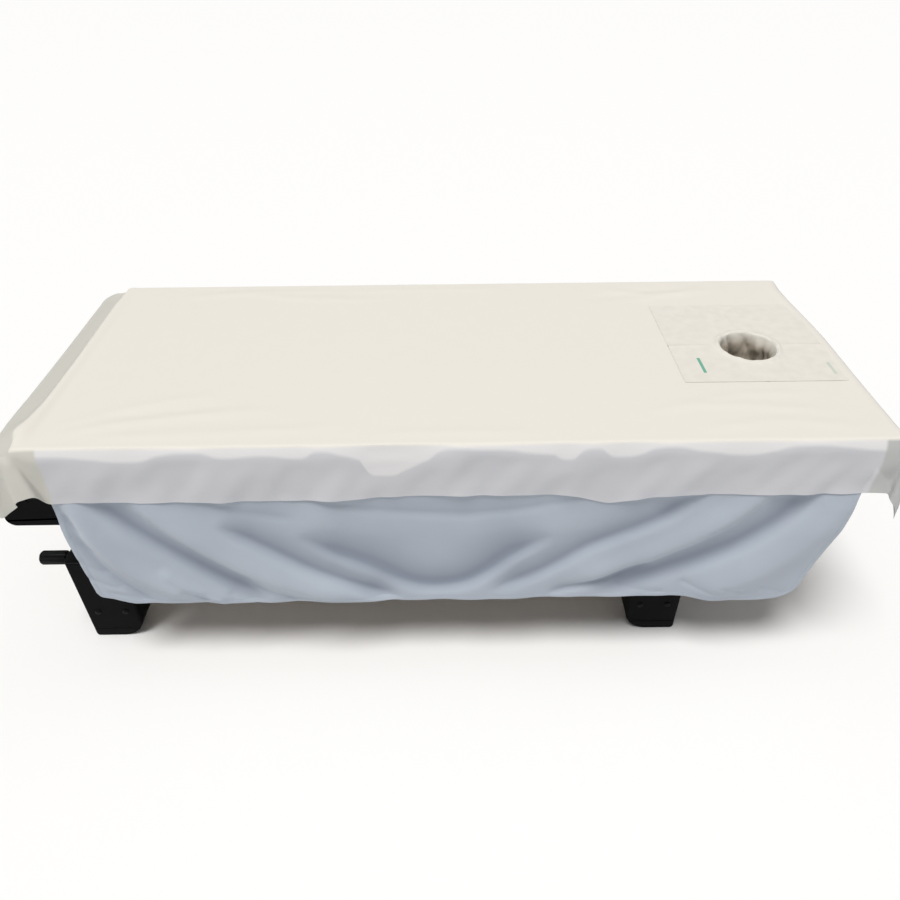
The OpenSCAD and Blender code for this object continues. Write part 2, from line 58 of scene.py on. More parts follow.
def material(name, colour, roughness, metallic=0.0, specular=0.5):
    m = bpy.data.materials.new(name)
    m.use_nodes = True
    shader = m.node_tree.nodes["Principled BSDF"]
    shader.inputs["Base Color"].default_value = (*colour, 1)
    shader.inputs["Roughness"].default_value = roughness
    shader.inputs["Metallic"].default_value = metallic
    shader.inputs["Specular IOR Level"].default_value = specular
    return m


def node(m, kind, **inputs):
    n = m.node_tree.nodes.new(kind)
    for key, value in inputs.items():
        n.inputs[key.replace("_", " ")].default_value = value
    return n


def link(m, a, out, b, into):
    m.node_tree.links.new(a.outputs[out], b.inputs[into])


floor_colour = (0.93, 0.93, 0.93)
floor_side = 80.0
bpy.ops.mesh.primitive_plane_add(size=floor_side)
floor = bpy.context.object
floor.name = "studio_floor"
floor_paint = material("pale_floor", floor_colour, 0.9, specular=0.1)
floor_grain = node(floor_paint, "ShaderNodeTexNoise", Scale=3.0, Detail=3.0)
floor_tone = node(floor_paint, "ShaderNodeMapRange", From_Min=0.3, From_Max=0.7, To_Min=0.925, To_Max=0.935)
link(floor_paint, floor_grain, "Fac", floor_tone, "Value")
floor.data.materials.append(floor_paint)

world = bpy.data.worlds.new("white_surround")
bpy.context.scene.world = world
world.use_nodes = True
world.node_tree.nodes["Background"].inputs["Color"].default_value = (0.97, 0.985, 1.0, 1)
world.node_tree.nodes["Background"].inputs["Strength"].default_value = 0.30

key_way = Vector((0.17, 0.26, -0.95))
key = bpy.data.lights.new("broad_soft_light", "SUN")
key.energy = 2.6
key.angle = math.radians(24)
key.color = (1.0, 0.985, 0.96)
key_holder = bpy.data.objects.new("broad_soft_light", key)
key_holder.rotation_euler = key_way.to_track_quat("-Z", "Y").to_euler()
bpy.context.scene.collection.objects.link(key_holder)

# The camera stands in front of the long side, about a metre above the top, and looks down at it.
lens_mm = 29.68
camera_at = Vector((0.030, -1.621, 1.623))
pitch, yaw, roll = math.radians(37.84), math.radians(0.29), math.radians(-0.55)
ahead = Vector((math.sin(yaw) * math.cos(pitch), math.cos(yaw) * math.cos(pitch), -math.sin(pitch)))
level_right = Vector((math.cos(yaw), -math.sin(yaw), 0))
level_up = level_right.cross(ahead)
cam_right = level_right * math.cos(roll) + level_up * math.sin(roll)
cam_up = level_up * math.cos(roll) - level_right * math.sin(roll)
camera = bpy.data.objects.new("camera", bpy.data.cameras.new("camera"))
camera.data.lens = lens_mm
camera.data.sensor_width = 36.0
bpy.context.scene.collection.objects.link(camera)
turn = Matrix((cam_right, cam_up, -ahead)).transposed().to_4x4()
camera.matrix_world = Matrix.Translation(camera_at) @ turn
bpy.context.scene.camera = camera
bpy.context.scene.view_settings.view_transform = "Standard"

# ---------------------------------------------------------------------------------------------
# The rails: beech boards planed to 25 mm, their outer corners eased, sprayed with black satin
# lacquer. The end rails sit between the long ones.


def merged_copy(name, cad_name):
    mesh = bmesh.new()
    mesh.from_mesh(nodes[cad_name].data)
    bmesh.ops.remove_doubles(mesh, verts=mesh.verts, dist=1e-6)
    bmesh.ops.dissolve_limit(mesh, angle_limit=0.002, verts=mesh.verts, edges=mesh.edges)
    data = bpy.data.meshes.new(name)
    mesh.to_mesh(data)
    mesh.free()
    piece = bpy.data.objects.new(name, data)
    bpy.context.scene.collection.objects.link(piece)
    return piece


def settle(piece):
    """Turns the piece's modifiers into plain mesh."""
    graph = bpy.context.evaluated_depsgraph_get()
    data = bpy.data.meshes.new_from_object(piece.evaluated_get(graph))
    piece.modifiers.clear()
    piece.data = data
    data.name = piece.name


def smooth_by_angle(piece, degrees):
    piece.data.shade_smooth()
    piece.data.set_sharp_from_angle(angle=math.radians(degrees))


def eased(cad_name, width, finish, smallest=0.03, segments=2):
    """The CAD piece with its long edges rounded over; rims of small holes stay crisp."""
    piece = merged_copy(cad_name + "_eased", cad_name)
    mesh = bmesh.new()
    mesh.from_mesh(piece.data)
    weight = mesh.edges.layers.float.new("bevel_weight_edge")
    sharp = {e for e in mesh.edges if len(e.link_faces) == 2 and e.calc_face_angle(0) > 0.5}
    while sharp:
        chain, todo = set(), [sharp.pop()]
        while todo:
            e = todo.pop()
            chain.add(e)
            near = [n for v in e.verts for n in v.link_edges if n in sharp]
            todo += near
            sharp -= set(near)
        points = np.array([v.co[:] for e in chain for v in e.verts])
        if np.linalg.norm(points.max(0) - points.min(0)) > smallest:
            for e in chain:
                e[weight] = 1.0
    mesh.to_mesh(piece.data)
    mesh.free()
    bevel = piece.modifiers.new("eased", "BEVEL")
    bevel.limit_method = "WEIGHT"
    bevel.width = width
    bevel.segments = segments
    bevel.use_clamp_overlap = False
    settle(piece)
    smooth_by_angle(piece, 32)
    piece.data.materials.clear()
    piece.data.materials.append(finish)
    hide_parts(cad_name)
    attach(piece, body_of[cad_name])
    return piece


def mottle(m, low, high, scale, into="Roughness", stretch=(1, 1, 1), detail=4.0):
    """Varies one of the shader's values over the surface."""
    place = node(m, "ShaderNodeTexCoord")
    spread = node(m, "ShaderNodeMapping", Scale=stretch)
    link(m, place, "Object", spread, "Vector")
    cloud = node(m, "ShaderNodeTexNoise", Scale=scale, Detail=detail)
    link(m, spread, "Vector", cloud, "Vector")
    span = node(m, "ShaderNodeMapRange", From_Min=0.3, From_Max=0.7, To_Min=low, To_Max=high)
    link(m, cloud, "Fac", span, "Value")
    link(m, span, "Result", m.node_tree.nodes["Principled BSDF"], into)
    return cloud


def blend_colour(m, dark, light, cloud):
    ramp = node(m, "ShaderNodeValToRGB")
    ramp.color_ramp.elements[0].color = (*dark, 1)
    ramp.color_ramp.elements[1].color = (*light, 1)
    ramp.color_ramp.elements[0].position = 0.35
    ramp.color_ramp.elements[1].position = 0.65
    link(m, cloud, "Fac", ramp, "Fac")
    link(m, ramp, "Color", m.node_tree.nodes["Principled BSDF"], "Base Color")


def grain_bump(m, scale, depth, stretch=(1, 1, 1), texture="ShaderNodeTexNoise", out="Fac", strength=0.5):
    """Raises a fine relief on the surface, depth in metres."""
    place = node(m, "ShaderNodeTexCoord")
    spread = node(m, "ShaderNodeMapping", Scale=stretch)
    link(m, place, "Object", spread, "Vector")
    relief = node(m, texture, Scale=scale)
    link(m, spread, "Vector", relief, "Vector")
    bump = node(m, "ShaderNodeBump", Strength=strength, Distance=depth)
    link(m, relief, out, bump, "Height")
    link(m, bump, "Normal", m.node_tree.nodes["Principled BSDF"], "Normal")
    return bump


def black_lacquer(name, along):
    m = material(name, (0.003, 0.003, 0.0035), 0.55, specular=0.05)
    cloud = mottle(m, 0.5, 0.62, 14.0, stretch=along)
    blend_colour(m, (0.0022, 0.0022, 0.0026), (0.0045, 0.0045, 0.005), cloud)
    grain_bump(m, 60.0, 0.0006, stretch=along, strength=0.25)
    return m


lacquer_long = black_lacquer("black_lacquer_along", (0.12, 1, 1))
lacquer_across = black_lacquer("black_lacquer_across", (1, 0.12, 1))
lacquer_upright = black_lacquer("black_lacquer_upright", (1, 1, 0.12))
rail_ease = 0.003
for name in ("front_rail", "back_rail"):
    eased(name, rail_ease, lacquer_long)
for name in ("foot_rail", "head_rail"):
    eased(name, rail_ease, lacquer_across)

# ---------------------------------------------------------------------------------------------
# Bearers, slats and the deck panel: bare pine and plywood, never finished because nobody sees
# them. The panel's plies show as thin dark and light layers at its edge.

bare_pine = material("bare_pine", (0.55, 0.38, 0.2), 0.7, specular=0.2)
pine_rings = mottle(bare_pine, 0.6, 0.8, 9.0, stretch=(2.5, 0.25, 2.5), detail=6.0)
blend_colour(bare_pine, (0.44, 0.28, 0.13), (0.62, 0.45, 0.26), pine_rings)
grain_bump(bare_pine, 90.0, 0.0005, stretch=(2.0, 0.2, 2.0), strength=0.4)
for name in ("foot_leg_bearer", "head_leg_bearer", "deck_slats"):
    eased(name, 0.002, bare_pine)

ply_thickness = 0.0013
birch_ply = material("birch_plywood", (0.62, 0.47, 0.29), 0.65, specular=0.2)
ply_place = node(birch_ply, "ShaderNodeTexCoord")
ply_grain = node(birch_ply, "ShaderNodeMapping", Scale=(0.5, 7.0, 1.0))
ply_cloud = node(birch_ply, "ShaderNodeTexNoise", Scale=6.0, Detail=6.0)
ply_face = node(birch_ply, "ShaderNodeValToRGB")
ply_face.color_ramp.elements[0].color = (0.5, 0.35, 0.19, 1)
ply_face.color_ramp.elements[1].color = (0.68, 0.53, 0.34, 1)
ply_split = node(birch_ply, "ShaderNodeSeparateXYZ")
ply_count = node(birch_ply, "ShaderNodeMath")
ply_count.operation = "PINGPONG"
ply_count.inputs[1].default_value = ply_thickness
ply_tone = node(birch_ply, "ShaderNodeMapRange", From_Min=0.0, From_Max=ply_thickness, To_Min=0.7, To_Max=1.1)
ply_mix = node(birch_ply, "ShaderNodeHueSaturation")
link(birch_ply, ply_place, "Object", ply_grain, "Vector")
link(birch_ply, ply_grain, "Vector", ply_cloud, "Vector")
link(birch_ply, ply_cloud, "Fac", ply_face, "Fac")
link(birch_ply, ply_place, "Object", ply_split, "Vector")
link(birch_ply, ply_split, "Z", ply_count, 0)
link(birch_ply, ply_count, 0, ply_tone, "Value")
link(birch_ply, ply_face, "Color", ply_mix, "Color")
link(birch_ply, ply_tone, "Result", ply_mix, "Value")
link(birch_ply, ply_mix, "Color", birch_ply.node_tree.nodes["Principled BSDF"], "Base Color")
eased("deck_panel", 0.0008, birch_ply, smallest=0.2, segments=1)

# ---------------------------------------------------------------------------------------------
# The fixings: pressed corner brackets, pan-head cross-recess screws and hexagon bolts, all zinc
# plated but for the black ones that show in the rails and legs. Each kind of screw is one turned
# blank with a recess, set at every screw's place.

powder_black = material("black_powder_coat", (0.006, 0.006, 0.0065), 0.5, specular=0.1)
powder_cloud = mottle(powder_black, 0.44, 0.6, 60.0)
blend_colour(powder_black, (0.0045, 0.0045, 0.005), (0.008, 0.008, 0.0085), powder_cloud)
grain_bump(powder_black, 1500.0, 0.00015, strength=0.4)
zinc = material("zinc_plate", (0.58, 0.59, 0.6), 0.34, metallic=1.0)
zinc_cloud = mottle(zinc, 0.24, 0.46, 160.0)
blend_colour(zinc, (0.48, 0.49, 0.5), (0.68, 0.69, 0.7), zinc_cloud)
eased("corner_brackets", 0.0008, zinc)
eased("post_bolts", 0.0005, zinc, smallest=0.012)
for end in ("foot", "head"):
    eased(f"{end}_clamp_inserts", 0.0006, zinc, smallest=0.02)


def screw_blank(head_r, head_h, shank_r, length, recess_r):
    """A pan-head screw pointing up +Z from its bearing face at the origin."""
    turned = [(shank_r * 0.1, length), (shank_r * 0.9, length - shank_r * 1.4), (shank_r, length - shank_r * 2.2)]
    turned += [(shank_r, 0.0), (head_r, 0.0), (head_r * 0.97, -head_h * 0.5), (head_r * 0.7, -head_h * 0.92)]
    sides = 24
    mesh = bmesh.new()
    rings = []
    for radius, z in turned:
        ring = [mesh.verts.new((radius * math.cos(a), radius * math.sin(a), z))
                for a in (2 * math.pi * i / sides for i in range(sides))]
        rings.append(ring)
    cross = []
    for i in range(sides):
        a = 2 * math.pi * i / sides
        arm = recess_r if i % 6 in (0,) else recess_r * 0.32
        cross.append(mesh.verts.new((arm * math.cos(a), arm * math.sin(a), -head_h)))
    pit = [mesh.verts.new((v.co.x * 0.75, v.co.y * 0.75, -head_h * 0.35)) for v in cross]
    rings += [cross, pit]
    for low, high in zip(rings, rings[1:]):
        for i in range(sides):
            j = (i + 1) % sides
            mesh.faces.new((low[i], low[j], high[j], high[i]))
    mesh.faces.new(list(reversed(rings[0])))
    mesh.faces.new(pit)
    bmesh.ops.recalc_face_normals(mesh, faces=mesh.faces)
    data = bpy.data.meshes.new("screw_blank")
    mesh.to_mesh(data)
    mesh.free()
    blank = bpy.data.objects.new("screw_blank", data)
    bpy.context.scene.collection.objects.link(blank)
    return blank


def screw_places(cad_name):
    """Where each solid of the node bears on its work, and which way it points in."""
    mesh = bmesh.new()
    mesh.from_mesh(nodes[cad_name].data)
    bmesh.ops.remove_doubles(mesh, verts=mesh.verts, dist=1e-6)
    left = set(mesh.verts)
    places = []
    while left:
        part, todo = [], [left.pop()]
        while todo:
            v = todo.pop()
            part.append(v.co.copy())
            near = {e.other_vert(v) for e in v.link_edges} & left
            left -= near
            todo += near
        points = np.array([p[:] for p in part])
        size = points.max(0) - points.min(0)
        axis = int(size.argmax())
        middle = (points.max(0) + points.min(0)) / 2
        off = np.delete(points - middle, axis, 1)
        wide = points[np.linalg.norm(off, axis=1) > np.linalg.norm(off, axis=1).max() * 0.9]
        way = np.zeros(3)
        way[axis] = 1.0 if wide[:, axis].mean() < middle[axis] else -1.0
        bearing = middle.copy()
        bearing[axis] = wide[:, axis].max() if way[axis] > 0 else wide[:, axis].min()
        places.append((bearing, way))
    mesh.free()
    return places


def repeat_at(name, places, blank, finish, spin_seed=0):
    """A Geometry Nodes tree that sets the blank at every place, turned to its own angle."""
    cloud = bpy.data.meshes.new(name + "_places")
    cloud.from_pydata([tuple(p) for p, _ in places], [], [])
    way = cloud.attributes.new("way", "FLOAT_VECTOR", "POINT")
    for i, (_, direction) in enumerate(places):
        way.data[i].vector = tuple(direction)
    piece = bpy.data.objects.new(name, cloud)
    bpy.context.scene.collection.objects.link(piece)
    tree = bpy.data.node_groups.new(name, "GeometryNodeTree")
    tree.interface.new_socket("Places", in_out="INPUT", socket_type="NodeSocketGeometry")
    blank_socket = tree.interface.new_socket("Blank", in_out="INPUT", socket_type="NodeSocketObject")
    finish_socket = tree.interface.new_socket("Finish", in_out="INPUT", socket_type="NodeSocketMaterial")
    seed_socket = tree.interface.new_socket("Spin seed", in_out="INPUT", socket_type="NodeSocketInt")
    tree.interface.new_socket("Screws", in_out="OUTPUT", socket_type="NodeSocketGeometry")
    start = tree.nodes.new("NodeGroupInput")
    end = tree.nodes.new("NodeGroupOutput")
    source = tree.nodes.new("GeometryNodeObjectInfo")
    read_way = tree.nodes.new("GeometryNodeInputNamedAttribute")
    read_way.data_type = "FLOAT_VECTOR"
    read_way.inputs["Name"].default_value = "way"
    aim = tree.nodes.new("FunctionNodeAlignRotationToVector")
    aim.axis = "Z"
    chance = tree.nodes.new("FunctionNodeRandomValue")
    chance.data_type = "FLOAT"
    chance.inputs["Max"].default_value = 2 * math.pi
    spin = tree.nodes.new("FunctionNodeAxisAngleToRotation")
    spin.inputs["Axis"].default_value = (0, 0, 1)
    turn_in_place = tree.nodes.new("FunctionNodeRotateRotation")
    turn_in_place.rotation_space = "LOCAL"
    spread = tree.nodes.new("GeometryNodeInstanceOnPoints")
    real = tree.nodes.new("GeometryNodeRealizeInstances")
    paint = tree.nodes.new("GeometryNodeSetMaterial")
    for a, out, b, into in (
        (start, "Places", spread, "Points"), (start, "Blank", source, "Object"),
        (source, "Geometry", spread, "Instance"), (read_way, "Attribute", aim, "Vector"),
        (start, "Spin seed", chance, "Seed"), (aim, "Rotation", turn_in_place, "Rotation"),
        (spin, "Rotation", turn_in_place, "Rotate By"), (turn_in_place, "Rotation", spread, "Rotation"),
        (spread, "Instances", real, "Geometry"), (real, "Geometry", paint, "Geometry"),
        (start, "Finish", paint, "Material"), (paint, "Geometry", end, "Screws"),
    ):
        tree.links.new(a.outputs[out], b.inputs[into])
    random_angle = next(s for s in chance.outputs if s.enabled and s.type == "VALUE")
    tree.links.new(random_angle, spin.inputs["Angle"])
    maker = piece.modifiers.new("repeat", "NODES")
    maker.node_group = tree
    maker[blank_socket.identifier] = blank
    maker[finish_socket.identifier] = finish
    maker[seed_socket.identifier] = spin_seed
    settle(piece)
    bpy.data.objects.remove(blank)
    return piece


def set_screws(cad_name, head_r, head_h, shank_r, length, finish=zinc):
    blank = screw_blank(head_r, head_h, shank_r, length, head_r * 0.55)
    piece = repeat_at(cad_name + "_cross_head", screw_places(cad_name), blank, finish, len(cad_name))
    smooth_by_angle(piece, 40)
    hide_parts(cad_name)
    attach(piece, body_of[cad_name])


set_screws("bracket_screws", 0.0042, 0.0025, 0.002, 0.017)
set_screws("frame_screws", 0.0045, 0.0025, 0.002, 0.047, powder_black)
set_screws("deck_screws", 0.004, 0.0024, 0.002, 0.042)
set_screws("hole_ring_screws", 0.0036, 0.002, 0.0017, 0.015)
for end in ("foot", "head"):
    set_screws(f"{end}_sole_screws", 0.0044, 0.0028, 0.0021, 0.031)
    set_screws(f"{end}_guide_screws", 0.0045, 0.0024, 0.0021, 0.021)
    set_screws(f"{end}_crossbar_bolts", 0.008, 0.0035, 0.004, 0.13, powder_black)

# ---------------------------------------------------------------------------------------------
# The ring that lines the breathing hole: one black moulding with a flange, screwed up under
# the panel.

satin_plastic = material("black_moulding", (0.006, 0.006, 0.0065), 0.42, specular=0.1)
plastic_cloud = mottle(satin_plastic, 0.36, 0.5, 70.0)
blend_colour(satin_plastic, (0.004, 0.004, 0.0045), (0.008, 0.008, 0.0085), plastic_cloud)
grain_bump(satin_plastic, 900.0, 0.0002, strength=0.3)
eased("hole_ring", 0.0008, satin_plastic)

# ---------------------------------------------------------------------------------------------
# The deck's foam and its cover: a block of firm foam glued to the panel, wrapped in one piece of
# black vinyl with its corners rounded and its foot end rolled over more softly.

deck_lo, deck_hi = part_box("vinyl_cover")
panel_lo, panel_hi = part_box("deck_panel")
ring_lo, ring_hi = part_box("hole_ring")
hole_x = (ring_lo.x + ring_hi.x) / 2
hole_y = 0.0
hole_r = 0.076
corner_r = 0.03
rim_points = 288


def rounded_plan(x0, x1, y0, y1, r, count):
    """Evenly spaced points round a rectangle with rounded corners, anticlockwise."""
    straight = [(x1 - x0 - 2 * r), (y1 - y0 - 2 * r)]
    total = 2 * sum(straight) + 2 * math.pi * r
    arc = math.pi * r / 2
    legs = [("line", straight[1]), ("arc", arc), ("line", straight[0]), ("arc", arc)] * 2
    starts = [(x1, y0 + r), None, (x1 - r, y1), None, (x0, y1 - r), None, (x0 + r, y0), None]
    ways = [(0, 1), None, (-1, 0), None, (0, -1), None, (1, 0), None]
    centres = [None, (x1 - r, y1 - r), None, (x0 + r, y1 - r), None, (x0 + r, y0 + r), None, (x1 - r, y0 + r)]
    points = []
    for i in range(count):
        s = total * i / count
        for k, (kind, length) in enumerate(legs):
            if s <= length:
                break
            s -= length
        if kind == "line":
            points.append((starts[k][0] + ways[k][0] * s, starts[k][1] + ways[k][1] * s))
        else:
            a = (k - 1) / 2 * math.pi / 2 + s / r
            points.append((centres[k][0] + r * math.cos(a), centres[k][1] + r * math.sin(a)))
    return np.array(points)


def loft(name, loops, closed=False):
    """Quads between loops that have the same number of points."""
    count = len(loops[0])
    verts = [tuple(p) for loop in loops for p in loop]
    faces = []
    pairs = list(range(len(loops) - 1)) + ([len(loops) - 1] if closed else [])
    for k in pairs:
        k2 = (k + 1) % len(loops)
        for i in range(count):
            j = (i + 1) % count
            faces.append((k * count + i, k * count + j, k2 * count + j, k2 * count + i))
    data = bpy.data.meshes.new(name)
    data.from_pydata(verts, [], faces)
    data.validate()
    piece = bpy.data.objects.new(name, data)
    bpy.context.scene.collection.objects.link(piece)
    return piece


def pad_loops(x0, x1, half_w, z0, z1, edge_r, hole, crown=0.0, belly=0.0, plan_r=corner_r):
    """Loops up the side, over the edge, in to the hole and down it. edge_r is a function of x."""
    plan = rounded_plan(x0, x1, -half_w, half_w, plan_r, rim_points)
    inward = np.array([(x0 + x1) / 2, 0.0])
    tangent = np.roll(plan, -1, 0) - np.roll(plan, 1, 0)
    normal = np.stack([tangent[:, 1], -tangent[:, 0]], 1)
    normal /= np.linalg.norm(normal, axis=1)[:, None]
    radius = np.array([edge_r(x) for x, _ in plan])
    angle = np.arctan2(plan[:, 1] - hole_y, plan[:, 0] - hole_x)
    rim = np.stack([hole_x + hole * np.cos(angle), hole_y + hole * np.sin(angle)], 1)
    loops = []
    for f in np.linspace(0, 1, 7):
        z = z0 + (z1 - radius - z0) * f
        out = belly * math.sin(math.pi * f)
        loops.append(np.column_stack([plan + normal * out, z]))
    for a in np.linspace(0, math.pi / 2, 7)[1:]:
        inset = radius * (1 - math.cos(a))
        z = z1 - radius + radius * math.sin(a)
        loops.append(np.column_stack([plan - normal * inset[:, None], z]))
    top = plan - normal * radius[:, None]
    reach = np.linalg.norm(top - rim, axis=1)
    for f in (0.03, 0.08, 0.16, 0.28, 0.42, 0.56, 0.7, 0.82, 0.91, 0.96):
        flat = top + (rim - top) * f
        lift = crown * np.clip(reach * np.minimum(f, 1 - f) / 0.12, 0, 1)
        loops.append(np.column_stack([flat, np.full(len(flat), z1) + lift]))
    lip = 0.006
    for a in np.linspace(0, math.pi / 2, 5):
        r = hole + lip * (1 - math.sin(a))
        ring = np.stack([hole_x + r * np.cos(angle), hole_y + r * np.sin(angle)], 1)
        loops.append(np.column_stack([ring, np.full(len(ring), z1 - lip * (1 - math.cos(a)))]))
    return loops, rim


def foot_roll(x):
    """Edge radius of the deck: soft at the foot end, firm elsewhere."""
    t = min(max((-x - 0.88) / 0.07, 0), 1)
    return 0.014 + 0.026 * t * t * (3 - 2 * t)


skin = 0.0012
cover_loops, rim = pad_loops(deck_lo.x, deck_hi.x, deck_hi.y, deck_lo.z, deck_hi.z - 0.001, foot_roll, hole_r,
                             belly=0.0012)
for z in np.linspace(deck_hi.z - 0.02, panel_hi.z, 5):
    cover_loops.append(np.column_stack([rim, np.full(len(rim), z)]))
vinyl_cover = loft("deck_vinyl", cover_loops)
wall = vinyl_cover.modifiers.new("thickness", "SOLIDIFY")
wall.thickness = skin
wall.offset = -1
settle(vinyl_cover)
smooth_by_angle(vinyl_cover, 50)
vinyl = material("black_vinyl", (0.005, 0.005, 0.0055), 0.42, specular=0.22)
vinyl_cloud = mottle(vinyl, 0.34, 0.5, 9.0)
blend_colour(vinyl, (0.004, 0.004, 0.0045), (0.008, 0.008, 0.0085), vinyl_cloud)
grain_bump(vinyl, 650.0, 0.0004, texture="ShaderNodeTexVoronoi", out="Distance", strength=0.5)
vinyl_cover.data.materials.append(vinyl)
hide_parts("vinyl_cover")
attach(vinyl_cover, "table")


def closed_pad(name, x0, x1, half_w, z0, z1, edge_r, hole, crown=0.0, belly=0.0):
    """A pad with a flat underside and a hole, closed all round."""
    loops, rim = pad_loops(x0, x1, half_w, z0, z1, edge_r, hole, crown, belly)
    for f in (0.35, 0.7):
        loops.append(np.column_stack([rim, np.full(len(rim), z1 - 0.006 + (z0 - z1 + 0.006) * f)]))
    loops.append(np.column_stack([rim, np.full(len(rim), z0)]))
    under = loops[0][:, :2]
    for f in (0.75, 0.5, 0.25):
        loops.append(np.column_stack([under + (rim - under) * f, np.full(len(rim), z0)]))
    return loft(name, loops, closed=True)


foam_gap = skin + 0.0006
deck_foam = closed_pad("deck_foam_block", deck_lo.x + foam_gap, deck_hi.x - foam_gap, deck_hi.y - foam_gap,
                       panel_hi.z + 0.0002, deck_hi.z - 0.001 - foam_gap, foot_roll, hole_r + foam_gap)
smooth_by_angle(deck_foam, 50)
grey_foam = material("grey_foam", (0.45, 0.45, 0.44), 0.95, specular=0.1)
foam_cloud = mottle(grey_foam, 0.9, 1.0, 30.0)
blend_colour(grey_foam, (0.4, 0.4, 0.39), (0.5, 0.5, 0.49), foam_cloud)
grain_bump(grey_foam, 500.0, 0.0008, texture="ShaderNodeTexVoronoi", out="Distance", strength=0.6)
deck_foam.data.materials.append(grey_foam)
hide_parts("deck_foam")
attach(deck_foam, "table")

# ---------------------------------------------------------------------------------------------
# The draped sheet: pale blue woven cotton, cut 1.78 by 1.65 m, laid across the deck under the
# topper. Its weight hangs it in slanting swags that meet low in the middle.

sheet_lo, sheet_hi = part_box("draped_sheet")
sheet_top = 0.651
side_y = 0.3905
edge_bend = 0.0125
drop_start = sheet_top - edge_bend


def smooth_step(t):
    t = np.clip(t, 0, 1)
    return t * t * (3 - 2 * t)


def along(points, x):
    """A gentle curve through (x, value) points."""
    xs, values = np.array(points).T
    return np.interp(x, xs, values)


def near_line(x, z, points):
    """Distance to a drawn line (positive above it), and how far along it, 0 to 1."""
    best = np.full(x.shape, 1e9)
    signed = np.zeros(x.shape)
    share = np.zeros(x.shape)
    points = np.array(points, float)
    lengths = np.linalg.norm(np.diff(points, axis=0), axis=1)
    total = lengths.sum()
    done = 0.0
    for (ax, az), (bx, bz), length in zip(points, points[1:], lengths):
        ux, uz = (bx - ax) / length, (bz - az) / length
        t = np.clip((x - ax) * ux + (z - az) * uz, 0, length)
        dx, dz = x - ax - ux * t, z - az - uz * t
        d = np.hypot(dx, dz)
        closer = d < best
        best = np.where(closer, d, best)
        signed = np.where(closer, np.sign(dz * abs(ux) - dx * uz * np.sign(ux)) * d, signed)
        share = np.where(closer, (done + t) / total, share)
        done += length
    return signed, share


def curve_through(points, steps=8):
    """Points along a smooth curve through a few drawn ones."""
    p = np.array([points[0]] + list(points) + [points[-1]], float)
    out = []
    for a, b, c, d in zip(p, p[1:], p[2:], p[3:]):
        for t in np.arange(steps) / steps:
            out.append(0.5 * (2 * b + (c - a) * t + (2 * a - 5 * b + 4 * c - d) * t ** 2
                              + (3 * b - a - 3 * c + d) * t ** 3))
    out.append(p[-1])
    return np.array(out)


def fold(x, z, points, height, above, below, fade=0.18):
    """A ridge (or a valley, for a negative height) along a line, its two flanks of unlike width.
    A valley's upper flank grows steeper all the way down to the line, as a swag's does."""
    d, share = near_line(x, z, curve_through(points, 4))
    soft = 0.12 * above
    upper = np.exp(-((d / above) ** 2))
    if height < 0:
        upper = np.exp(-(np.sqrt(d * d + soft * soft) - soft) / above)
    ends = smooth_step(share / fade) * smooth_step((1 - share) / fade)
    return height * np.where(d > 0, upper, np.exp(-((d / below) ** 2))) * ends


